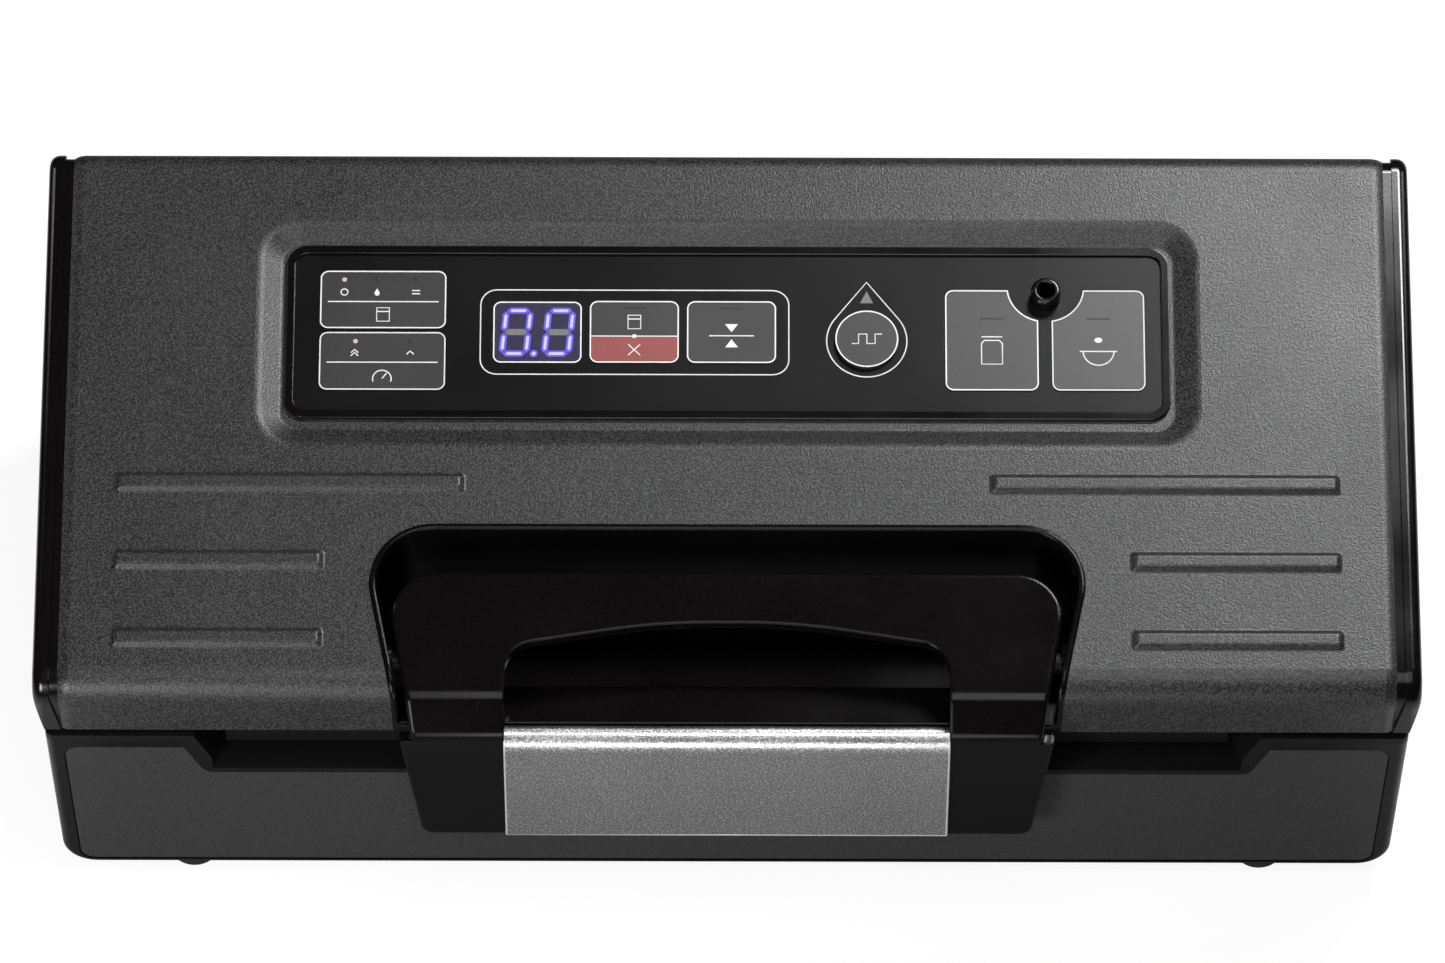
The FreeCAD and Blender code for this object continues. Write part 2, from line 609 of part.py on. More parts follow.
def prism(name, plane, points, span, rounds=()):
    """A padded outline, with chosen corners rounded."""
    body = doc.addObject("PartDesign::Body", name)
    sketch = body.newObject("Sketcher::SketchObject", name + "_outline")
    role = plane + "_Plane"
    sketch.AttachmentSupport = [(next(f for f in body.Origin.OriginFeatures if f.Role == role), "")]
    sketch.MapMode = "FlatFace"
    spots = draw(sketch, points)
    feature = body.newObject("PartDesign::Pad", name + "_pad")
    feature.Profile = sketch
    feature.Reversed = plane == "XZ"
    feature.setExpression("Length", bind(f"({span[1]}) - ({span[0]})"))
    for corners, radius in rounds:
        doc.recompute([sketch, feature])
        edges = corner_edges(feature.Shape, plane, [spots[corner] for corner in corners])
        rounding = body.newObject("PartDesign::Fillet", name + "_round")
        rounding.Base = (feature, edges)
        rounding.setExpression("Radius", bind(radius))
        feature = rounding
    offset = {"XY": ("0", "0", span[0]), "XZ": ("0", span[0], "0"), "YZ": (span[0], "0", "0")}[plane]
    return move(body, *offset)


def rectangle(first, second):
    """Corners of a rectangle given by two spans."""
    return [(first[0], second[0]), (first[1], second[0]), (first[1], second[1]), (first[0], second[1])]


def plate(name, xs, ys, zs, corner):
    """A level plate with rounded corners."""
    return prism(name, "XY", rectangle(xs, ys), zs, [((0, 1, 2, 3), corner)])


def slope_prism(name, points, outs, rounds=()):
    """A padded outline square to the lid's slope."""
    body = prism(name, "XY", points, outs, rounds)
    return on_slope(body, "0", "0", outs[0])


def slope_plate(name, xs, ups, outs, corner):
    """A plate with rounded corners that lies on the lid's slope."""
    return slope_prism(name, rectangle(xs, ups), outs, [((0, 1, 2, 3), corner)])


def frustum(name, xs, ups, outs, grow):
    """A block on the lid's slope whose upper face is larger by grow all round."""
    obj = doc.addObject("Part::Wedge", name)
    sizes = {
        "Xmin": xs[0], "Xmax": xs[1], "Zmin": f"-({ups[1]})", "Zmax": f"-({ups[0]})",
        "X2min": f"({xs[0]}) - ({grow})", "X2max": f"({xs[1]}) + ({grow})",
        "Z2min": f"-({ups[1]}) - ({grow})", "Z2max": f"-({ups[0]}) + ({grow})",
        "Ymin": "0", "Ymax": f"({outs[1]}) - ({outs[0]})",
    }
    for side, text in sizes.items():
        setattr(obj, side, value(text))
        obj.setExpression(side, bind(text))
    return on_slope(obj, "0", "0", outs[0], "90")


def cut(name, base, *tools):
    """The base with all tools taken out of it."""
    obj = doc.addObject("Part::Cut", name)
    obj.Base = base
    obj.Tool = tools[0] if len(tools) == 1 else fuse(name + "_tools", *tools)
    return obj


def fuse(name, *shapes):
    """Shapes made one."""
    obj = doc.addObject("Part::MultiFuse", name)
    obj.Shapes = list(shapes)
    return obj


def common(name, *shapes):
    """What shapes have in common."""
    obj = doc.addObject("Part::MultiCommon", name)
    obj.Shapes = list(shapes)
    return obj


def group(name, *members):
    """Separate solids that share one node."""
    obj = doc.addObject("Part::Compound", name)
    obj.Links = list(members)
    return obj


def mirror(name, source):
    """The other side's copy."""
    obj = doc.addObject("Part::Mirroring", name)
    obj.Source = source
    obj.Normal = V(1, 0, 0)
    return obj


def soften(name, source, radius, chosen):
    """Round the edges for which chosen(edge) is true."""
    doc.recompute()
    size = value(radius)
    obj = doc.addObject("Part::Fillet", name)
    obj.Base = source
    numbered = enumerate(source.Shape.Edges, start=1)
    obj.Edges = [(number, size, size) for number, edge in numbered if chosen(edge)]
    return obj


def lid_place(point):
    """A point's way up the lid's slope and out of its surface."""
    tilt = FreeCAD.Rotation(V(1, 0, 0), value("lid_slope"))
    reach = point - V(0, value("lid_front"), value("lid_corner"))
    return reach.dot(tilt.multVec(V(0, 1, 0))), reach.dot(tilt.multVec(V(0, 0, 1)))


def tube(name, points, outer, inner):
    """A hose of straight runs and tangent bends through points."""
    spots = [V(*(value(text) for text in point)) for point in points]
    bend = value("hose_bend")
    edges = []
    start = spots[0]
    for before, corner, after in zip(spots, spots[1:], spots[2:]):
        back = (before - corner).normalize()
        ahead = (after - corner).normalize()
        half_turn = back.getAngle(ahead) / 2
        reach = bend / math.tan(half_turn)
        middle = (back + ahead).normalize()
        centre = corner + middle * (bend / math.sin(half_turn))
        first = corner + back * reach
        second = corner + ahead * reach
        edges.append(Part.makeLine(start, first))
        edges.append(Part.Arc(first, centre - middle * bend, second).toShape())
        start = second
    edges.append(Part.makeLine(start, spots[-1]))
    spine = Part.Wire(edges)
    along = (spots[1] - spots[0]).normalize()

    def swept(radius):
        ring = Part.Wire(Part.makeCircle(radius, spots[0], along))
        return spine.makePipeShell([ring], True, False)

    obj = doc.addObject("Part::Feature", name)
    obj.Shape = swept(value(outer)).cut(swept(value(inner)))
    return obj


# Lid shells


def lid_block(name, inset, half, drop):
    """A block with the lid's side profile, drawn in from the outer skin by inset."""
    front = f"lid_front + ({inset})"
    back = f"lid_back - ({inset})"
    low = f"lid_bottom - ({drop})"
    dip = f"({inset}) / cos(lid_slope)"
    climb = f"({inset}) * tan(lid_slope)"
    points = [
        (front, low),
        (back, low),
        (back, f"lid_peak - {climb} - {dip}"),
        (front, f"lid_corner + {climb} - {dip}"),
    ]
    rounds = [((3,), f"lid_roll - ({inset})"), ((2,), f"lid_back_roll - ({inset})")]
    return prism(name, "YZ", points, both(half), rounds)


def lean_block(name, half):
    """A block whose ends lean in towards the lid's lower edge."""
    low_half = f"({half}) - end_lean * (1 + cap_width / end_lean_rise)"
    low = "lid_bottom - cap_width"
    bend = "lid_bottom + end_lean_rise"
    top = "lid_peak + cap_width"
    points = [
        (f"-({low_half})", low),
        (low_half, low),
        (half, bend),
        (half, top),
        (f"-({half})", top),
        (f"-({half})", bend),
    ]
    return prism(name, "XZ", points, ("lid_front - cap_width", "lid_back + cap_width"))


def slope_loop(name, half, ups, out, corner):
    """A rectangle with round corners on the lid's slope, as a wire."""
    core = doc.addObject("Sketcher::SketchObject", name + "_core")
    xs = both(f"{half} - ({corner})")
    draw(core, rectangle(xs, (f"{ups[0]} + {corner}", f"{ups[1]} - ({corner})")))
    on_slope(core, "0", "0", out)
    loop = doc.addObject("Part::Offset2D", name)
    loop.Source = core
    loop.setExpression("Value", bind(corner))
    return loop


def dish_block(name, depth, ease):
    """The space of the pressed dish, down to depth and eased outwards."""
    grow = f"(({depth}) + dish_depth) * dish_run / dish_depth"
    loops = []
    for level, out, by in (("floor", f"-({depth})", "0"), ("mouth", "dish_depth", grow)):
        half = f"dish_half - dish_run + {ease} + {by}"
        ups = (f"dish_low + dish_run - {ease} - ({by})", f"dish_high - dish_run + {ease} + {by}")
        loops.append(slope_loop(f"{name}_{level}", half, ups, out, f"(dish_corner + {by})"))
    obj = doc.addObject("Part::Loft", name)
    obj.Sections = loops
    obj.Solid = True
    obj.Ruled = True
    return obj


def well_prism(name, inset, outs):
    """The handle well's outline, drawn in by inset and square to the slope."""
    rear = f"well_rear - ({inset})"
    rear_half = f"well_rear_half - ({inset}) * (1 + well_taper)"
    front = "-well_cut"
    front_half = f"well_rear_half - ({inset}) - well_taper * (well_rear + well_cut)"
    points = [
        (f"-({rear_half})", rear), (f"-({front_half})", front), (front_half, front), (rear_half, rear)
    ]
    return slope_prism(name, points, outs, [((0, 3), f"well_corner - ({inset})")])


def panel_hole(name, inset, outs):
    """The control panel's outline, drawn in from the bezel's edge."""
    xs = both(f"bezel_half - ({inset})")
    ups = (f"bezel_low + {inset}", f"bezel_high - ({inset})")
    return slope_plate(name, xs, ups, outs, f"bezel_corner - ({inset})")


def rib(name, xs, up):
    """One raised rib of the lid."""
    outs = ("-skin_thickness / 2", "rib_height")
    blank = frustum(name + "_blank", xs, around(up, "rib_width / 2"), outs, "-rib_taper")

    def above_foot(edge):
        return lid_place(edge.CenterOfMass)[1] > 0

    return soften(name, blank, "rib_soften", above_foot)


def make_lid_skin():
    """Pressed steel skin: front, top and back in one sheet."""
    ease = "skin_thickness * (sqrt(1 + (dish_run / dish_depth) ^ 2) - dish_run / dish_depth)"
    block = lid_block("skin_block", "0", "skin_half", "0")
    dished = cut("skin_dished", block, dish_block("dish", "dish_depth", "0"))

    def dish_edge(level):
        place = value(level)
        low = value("dish_low - dish_soften")
        high = value("dish_high + dish_soften")
        length = value("2 * dish_half")

        def chosen(edge):
            up, out = lid_place(edge.CenterOfMass)
            return abs(out - place) < TOUCH and low < up < high and edge.Length < length

        return chosen

    rimmed = soften("skin_rimmed", dished, "dish_soften", dish_edge("0"))
    outside = soften("skin_outside", rimmed, "dish_foot", dish_edge("-dish_depth"))
    hollow = lid_block("skin_hollow", "skin_thickness", "skin_half + cap_width", "cap_width")
    inside = cut("skin_inside", hollow, dish_block("dish_under", "dish_depth + skin_thickness", ease))
    shell = cut("skin_shell", outside, inside)
    trimmed = common("skin_trimmed", shell, lean_block("skin_ends", "skin_half"))
    panel = panel_hole("skin_panel_hole", "bezel_skirt_inset - snug_gap", ("-3 * dish_depth", "dish_depth"))
    well = well_prism("skin_well_hole", "0", ("-well_cut", "lid_roll"))
    opened = cut("skin_opened", trimmed, panel, well)
    ribs = []
    feet = []
    for row, inner in enumerate(("rib_short_inner", "rib_short_inner", "rib_long_inner")):
        up = f"rib_first + {row} * rib_pitch"
        ribs.append(rib(f"rib_right_{row}", (inner, "rib_outer"), up))
        ribs.append(rib(f"rib_left_{row}", ("-rib_outer", f"-{inner}"), up))
        feet.append((value(inner), value("rib_outer"), value(up)))
    ribbed = fuse("skin_ribbed", opened, *ribs)
    reach = value("rib_width / 2")

    def rib_foot(edge):
        middle = edge.CenterOfMass
        up, out = lid_place(middle)
        beside = any(low < abs(middle.x) < high and abs(up - row) < reach for low, high, row in feet)
        return abs(out) < TOUCH and beside

    return soften("lid_skin", ribbed, "rib_foot", rib_foot)


def make_end_caps():
    """Moulded end caps with a rim inside the skin and tabs for the screws."""
    block = lid_block("cap_block", "0", "lid_half", "0")
    half = value("lid_half")
    low = value("lid_bottom")

    def outer_rim(edge):
        middle = edge.CenterOfMass
        return abs(abs(middle.x) - half) < TOUCH and middle.z > low + TOUCH

    rounded = soften("cap_rounded", block, "cap_round", outer_rim)
    envelope = common("cap_envelope", rounded, lean_block("cap_ends", "lid_half"))
    pair = cut("cap_pair", envelope, lean_block("cap_inside", "skin_half"))
    sides = ("lid_front - cap_width", "lid_back + cap_width")
    levels = ("lid_bottom - cap_width", "lid_peak + cap_width")
    blank = common("cap_blank", pair, box("cap_side", ("0", "lid_half + cap_width"), sides, levels))
    rim_inset = "skin_thickness + snug_gap"
    rim_block = lid_block("cap_rim_block", rim_inset, "skin_half + snug_gap", "0")
    rim_hollow = lid_block(
        "cap_rim_hollow", rim_inset + " + lip_wall", "skin_half + cap_width", "cap_width"
    )
    rim_ring = cut("cap_rim_ring", rim_block, rim_hollow)
    rim_room = box("cap_rim_room", ("skin_half - lip_depth", "skin_half + cap_width"), sides, levels)
    rim = common("cap_rim", rim_ring, rim_room)
    tabs = []
    holes = []
    for step in (-1, 0, 1):
        y = f"lid_screw_y + {step} * lid_screw_pitch"
        tab_levels = ("under_top", "under_top + tab_thickness")
        reach = ("lid_screw_x - tab_half", "skin_half + snug_gap")
        tabs.append(box(f"cap_tab_{step + 1}", reach, around(y, "tab_half"), tab_levels))
        holes.append(
            cylinder(
                f"cap_tab_hole_{step + 1}", "Z", "screw_shank + shaft_gap", tab_levels, ("lid_screw_x", y)
            ),
        )
    right = cut("lid_end_cap_right", fuse("cap_whole", blank, rim, *tabs), *holes)
    return right, mirror("lid_end_cap_left", right)


def make_lid_underside():
    """Moulded tray under the lid, with the sealing platform, bearings and hinge knuckles."""
    depth = ("lid_front + skin_thickness + fit_gap", "lid_back - skin_thickness - fit_gap")
    solids = [box("under_flange", both("under_half"), depth, ("under_low", "under_top"))]
    platform_span = ("platform_start", "platform_end")
    solids.append(
        box("under_platform", both("platform_half"), platform_span, ("platform_low", "under_top"))
    )
    hollow_span = ("platform_start + wall", "platform_end - wall")
    hollow_levels = ("platform_low + wall", "under_top + wall")
    cuts = [box("under_hollow", both("platform_half - wall"), hollow_span, hollow_levels)]
    ring_span = ("gasket_start", "gasket_end")
    ring_half = "gasket_half"
    groove_levels = ("platform_low - wall", "platform_low + gasket_groove + snug_gap")
    cuts.append(ring("under_groove", ring_half, ring_span, groove_levels, "snug_gap"))
    pad_span = ("lid_front + pad_front - snug_gap", "lid_front + pad_front + pad_width + snug_gap")
    cuts.append(box("under_pad_groove", both("pad_half + snug_gap"), pad_span, groove_levels))
    late = []
    for side in (-1, 1):
        tag = "right" if side > 0 else "left"
        post = f"{side} * post_centre"
        post_span = around(post, "post_width / 2")
        bearing = ("pivot_y", "pivot_z")
        solids.append(
            box(f"post_{tag}", post_span, around("pivot_y", "post_half"), ("under_low", "pivot_z"))
        )
        solids.append(cylinder(f"post_head_{tag}", "X", "post_half", post_span, bearing))
        late.append(cylinder(f"post_bore_{tag}", "X", "shaft_radius + shaft_gap", post_span, bearing))
        hinge = f"{side} * hinge_centre"
        knuckle = around(hinge, "knuckle_half")
        axis = ("hinge_y", "hinge_z")
        for end in (-1, 1):
            lug = f"{hinge} + {end} * (knuckle_half + fit_gap + lug_thickness / 2)"
            room = around(lug, "lug_thickness / 2 + fit_gap")
            back = ("hinge_y - lug_root - fit_gap", "lid_back")
            levels = ("under_low - wall", "under_top + wall")
            cuts.append(box(f"under_lug_room_{tag}_{end + 1}", room, back, levels))
        solids.append(cylinder(f"knuckle_{tag}", "X", "knuckle_radius", knuckle, axis))
        late.append(cylinder(f"knuckle_bore_{tag}", "X", "pin_radius + shaft_gap", knuckle, axis))
        cuts.append(latch_slot(f"under_slot_{tag}", side, ("under_low - wall", "under_top + wall")))
        for step in (-1, 0, 1):
            spot = (f"{side} * lid_screw_x", f"lid_screw_y + {step} * lid_screw_pitch")
            hole = f"under_screw_hole_{tag}_{step + 1}"
            late.append(cylinder(hole, "Z", "screw_shank + snug_gap", ("under_low", "under_top"), spot))
    spot = ("port_across", "lid_front + spigot_y")
    top = "platform_low + wall + spigot_height"
    spigot = cylinder("under_spigot", "Z", "spigot_radius", ("platform_low + wall / 2", top), spot)
    late.append(cylinder("under_spigot_bore", "Z", "spigot_bore", ("platform_low - wall", top), spot))
    tray = cut("under_tray", fuse("under_solid", *solids), *cuts)
    return cut("lid_underside", fuse("under_whole", tray, spigot), *late)


def ring(name, half, span, levels, ease):
    """A rectangular ring of the gaskets' width, eased on both sides."""
    outer_span = (f"{span[0]} - ({ease})", f"{span[1]} + {ease}")
    inner_span = (f"{span[0]} + gasket_width + {ease}", f"{span[1]} - gasket_width - ({ease})")
    outer = plate(
        name + "_outside", both(f"{half} + {ease}"), outer_span, levels, f"gasket_corner + {ease}"
    )
    inner_half = both(f"{half} - gasket_width - ({ease})")
    inner = plate(
        name + "_inside", inner_half, inner_span, levels, f"gasket_corner - gasket_width - ({ease})"
    )
    return cut(name, outer, inner)


def latch_slot(name, side, levels):
    """Room for one latch hook to pass and swing."""
    xs = around(f"{side} * hook_centre", "latch_slot_width / 2")
    return box(name, xs, ("pivot_y - latch_slot_front", "pivot_y + latch_slot_back"), levels)


def make_handle_well():
    """Open-fronted well that the handle lies in, with the latch shafts' inner bearings."""
    outside = well_prism("well_outside", "snug_gap", ("-well_reach", "well_bead"))
    envelope = lid_block("well_envelope", "-well_bead", "skin_half", "2 * well_floor_drop")
    across = both("well_rear_half")
    rear = ("shelf_back - well_wall", "lid_front + 2 * well_rear")
    shelf = box(
        "well_shelf", across, ("lid_front - lid_roll", "shelf_back"), ("shelf_z - well_wall", "lid_peak")
    )
    deep = box("well_deep", across, rear, ("well_floor_z - well_wall", "lid_peak"))
    solid = common("well_solid", outside, envelope, fuse("well_levels", shelf, deep))
    inside = well_prism("well_inside", "snug_gap + well_wall", ("-well_reach", "lid_roll"))
    rear_room = ("shelf_back", "lid_front + 2 * well_rear")
    shelf_room = box(
        "well_shelf_room", across, ("lid_front - lid_roll", "shelf_back"), ("shelf_z", "2 * lid_peak")
    )
    deep_room = box("well_deep_room", across, rear_room, ("well_floor_z", "2 * lid_peak"))
    room = common("well_room", inside, fuse("well_rooms", shelf_room, deep_room))
    shell = cut("well_shell", solid, room)
    bosses = []
    bores = []
    for side in (-1, 1):
        span = around(f"{side} * well_side", "boss_width / 2")
        bosses.append(cylinder(f"well_boss_{side + 1}", "X", "boss_radius", span, ("pivot_y", "pivot_z")))
        bores.append(
            cylinder(f"well_bore_{side + 1}", "X", "shaft_radius + shaft_gap", span, ("pivot_y", "pivot_z"))
        )
    bored = cut("well_bored", fuse("well_whole", shell, *bosses), *bores)
    crest = value("well_bead")

    def bead_rim(edge):
        return abs(lid_place(edge.CenterOfMass)[1] - crest) < TOUCH

    return soften("handle_well", bored, "bead_soften", bead_rim)


# Control panel


def make_bezel():
    """Frame around the control panel, with a ledge for the fascia."""
    floor = "-dish_depth"
    rim = panel_hole("bezel_rim_block", "0", (floor, "bezel_rise - dish_depth"))
    skirt = panel_hole("bezel_skirt_block", "bezel_skirt_inset", ("-dish_depth - bezel_skirt", floor))
    seat = panel_hole("bezel_seat", "bezel_rim - snug_gap", ("fascia_under", "dish_depth"))
    through = panel_hole(
        "bezel_through", "bezel_rim + bezel_ledge", ("-dish_depth - 2 * bezel_skirt", "dish_depth")
    )
    return cut("control_bezel", fuse("bezel_whole", rim, skirt), seat, through)


LEFT_KEY = ("left_key_start", "left_key_end")
KEYS = {
    "mode_key": (LEFT_KEY, ("mode_key_low", "mode_key_high")),
    "pressure_key": (LEFT_KEY, ("pressure_key_low", "pressure_key_low + left_key_height")),
    "vacuum_key": (
        ("middle_key_start", "middle_key_start + middle_key_width"), ("middle_low", "middle_high")
    ),
    "seal_key": (
        ("middle_key_start + middle_key_pitch", "middle_key_start + middle_key_pitch + middle_key_width"),
        ("middle_low", "middle_high"),
    ),
    "canister_key": (
        ("right_key_start", "right_key_start + right_key_width"), ("right_key_low", "right_key_high")
    ),
    "marinate_key": (
        ("right_key_start + right_key_pitch", "right_key_end"),
        ("right_key_low", "right_key_high"),
    ),
}
DISPLAY = (("display_start", "display_end"), ("middle_low", "middle_high"))


def grown(span, by):
    """A span made longer at both ends."""
    return (f"({span[0]}) - ({by})", f"({span[1]}) + ({by})")


def key_block(name, key, by, outs):
    """A key's outline grown by a clearance, between two levels."""
    if key == "pulse_key":
        return slope_cylinder(name, f"pulse_radius + {by}", "pulse_centre", "pulse_up", outs)
    xs, ups = KEYS[key]
    if key not in ("canister_key", "marinate_key"):
        return slope_plate(name, grown(xs, by), grown(ups, by), outs, f"key_corner + {by}")
    block = slope_plate(name + "_block", grown(xs, by), grown(ups, by), outs, f"key_corner + {by}")
    return cut(
        name, block, slope_cylinder(name + "_bite", f"bite_radius - ({by})", "port_across", "bite_up", outs)
    )


def make_key(key):
    """One key: a cap through the fascia and a lip below it."""
    proud = "pulse_proud" if key == "pulse_key" else "key_proud"
    cap = key_block(key + "_cap", key, "0", ("key_under", f"fascia_n + {proud}"))
    lip = key_block(key + "_lip", key, "key_gap + key_lip", ("key_under", "key_lip_n"))
    return fuse(key, cap, lip)


ALL_KEYS = list(KEYS) + ["pulse_key"]


def make_fascia():
    """Face plate with holes for the keys, the display and the hose port."""
    outs = ("fascia_under", "fascia_n")
    through = ("fascia_under - fascia_thickness", "fascia_n + fascia_thickness")
    face = slope_plate(
        "fascia_face", both("fascia_half"), ("fascia_low", "fascia_high"), outs, "fascia_corner"
    )
    holes = [key_block(f"fascia_{key}_hole", key, "key_gap", through) for key in ALL_KEYS]
    holes.append(slope_plate("fascia_display_hole", *DISPLAY, through, "key_corner"))
    port = slope_cylinder("fascia_port_hole", "port_radius + snug_gap", "port_across", "port_up", through)
    return cut("control_fascia", face, *holes, port)


def make_display():
    """Display window in the fascia and the lit module behind it."""
    xs, ups = grown(DISPLAY[0], "-snug_gap"), grown(DISPLAY[1], "-snug_gap")
    window_outs = ("fascia_n - window_thickness", "fascia_n")
    window = slope_plate("display_window", xs, ups, window_outs, "key_corner - snug_gap")
    inner_xs, inner_ups = grown(DISPLAY[0], "-module_inset"), grown(DISPLAY[1], "-module_inset")
    module_outs = ("board_n", "fascia_n - window_thickness - snug_gap")
    module = slope_plate("display_module", inner_xs, inner_ups, module_outs, "snug_gap")
    return window, module


def port_room(name, outs):
    """Room for the hose port in the mat and the board."""
    return slope_cylinder(name, "board_hole", "port_across", "port_up", outs)


def make_keypad():
    """Rubber switch mat with a dome under each key, and the board it lies on."""
    xs = ("left_key_start - mat_edge", "right_key_end + mat_edge")
    ups = ("pressure_key_low - mat_edge", "mode_key_high + mat_edge")
    through = ("board_under - wall", "dome_n + wall")
    sheet = slope_plate("mat_sheet", xs, ups, ("mat_under", "mat_n"), "key_corner")
    gap = grown(DISPLAY[0], "-module_inset + snug_gap"), grown(DISPLAY[1], "-module_inset + snug_gap")
    opening = slope_plate("mat_display_hole", *gap, through, "snug_gap")
    opened = cut("mat_opened", sheet, opening, port_room("mat_port_hole", through))
    domes = []
    for key in ALL_KEYS:
        if key == "pulse_key":
            spot = ("pulse_centre", "pulse_up")
        else:
            key_xs, key_ups = KEYS[key]
            spot = (f"(({key_xs[0]}) + ({key_xs[1]})) / 2", f"({key_ups[0]}) + dome_inset")
        domes.append(slope_cylinder(f"{key}_dome", "dome_radius", *spot, ("mat_under", "dome_n")))
    mat = fuse("keypad_mat", opened, *domes)
    blank = slope_plate("control_board_sheet", xs, ups, ("board_under", "board_n"), "key_corner")
    board = cut("control_board", blank, port_room("board_port_hole", through))
    return mat, board


def make_hose_port():
    """Port on the panel for an outside hose, with a tail for the inner hose."""
    spot = ("port_across", "port_up")
    flange_top = "fascia_under - snug_gap"
    tip = slope_cylinder("port_tip", "port_radius", *spot, (flange_top, "fascia_n + port_rise"))
    flange = slope_cylinder(
        "port_collar", "port_flange", *spot, (f"{flange_top} - port_flange_height", flange_top)
    )
    tail = slope_cylinder(
        "port_tail_tube", "port_tail_radius", *spot, ("port_tail_n", f"{flange_top} - port_flange_height")
    )
    bore = slope_cylinder(
        "port_bore_hole", "port_bore", *spot, ("port_tail_n - wall", "fascia_n + port_rise + wall")
    )
    bored = cut("port_bored", fuse("port_whole", tip, flange, tail), bore)
    top = value("fascia_n + port_rise")
    outer = value("port_radius")

    def tip_rim(edge):
        on_top = abs(lid_place(edge.CenterOfMass)[1] - top) < TOUCH
        return on_top and edge.Closed and abs(edge.Curve.Radius - outer) < TOUCH

    return soften("hose_port", bored, "port_soften", tip_rim)


def make_port_hose():
    """Hose inside the lid, from the port to the sealing platform."""
    start_n = "port_tail_n + port_tail / 2"
    start = ("port_across", slope_y("port_up", start_n), slope_z("port_up", start_n))
    level = "under_top + hose_level"
    drop = f"(({slope_z('port_up', start_n)}) - ({level})) * tan(lid_slope)"
    first = ("port_across", f"{slope_y('port_up', start_n)} + {drop}", level)
    second = ("port_across", "lid_front + spigot_y", level)
    end = ("port_across", "lid_front + spigot_y", "platform_low + wall + snug_gap")
    return tube("port_hose", (start, first, second, end), "hose_radius", "port_tail_radius + shaft_gap")


# Sealing


def make_seals():
    """Upper and lower gaskets and the strip that presses on the seal bar."""
    upper_levels = ("gasket_top + fit_gap", "platform_low + gasket_groove")
    upper = ring(
        "lid_gasket", "gasket_half", ("gasket_start", "gasket_end"), upper_levels, "0"
    )
    lower_levels = ("deck_floor - gasket_groove", "gasket_top")
    lower = ring(
        "chamber_gasket", "gasket_half", ("gasket_start", "gasket_end"), lower_levels, "0"
    )
    pad_span = ("lid_front + pad_front", "lid_front + pad_front + pad_width")
    pad = box(
        "seal_pad", both("pad_half"), pad_span, ("tape_top + fit_gap", "platform_low + gasket_groove")
    )
    return upper, lower, pad


def make_seal_bar():
    """Heated bar: its insulating body, the element and the tape over it."""
    bar = box("seal_bar", both("pad_half"), ("bar_start", "bar_end"), ("bar_top - bar_height", "bar_top"))
    element_top = "bar_top + element_thickness"
    element_span = around("bar_middle", "element_width / 2")
    element = box("heating_element", both("pad_half - tape_width"), element_span, ("bar_top", element_top))
    tape_span = around("bar_middle", "tape_width / 2")
    tape = box("seal_tape", both("pad_half"), tape_span, (element_top, "tape_top"))
    return bar, element, tape


# Handle and latch


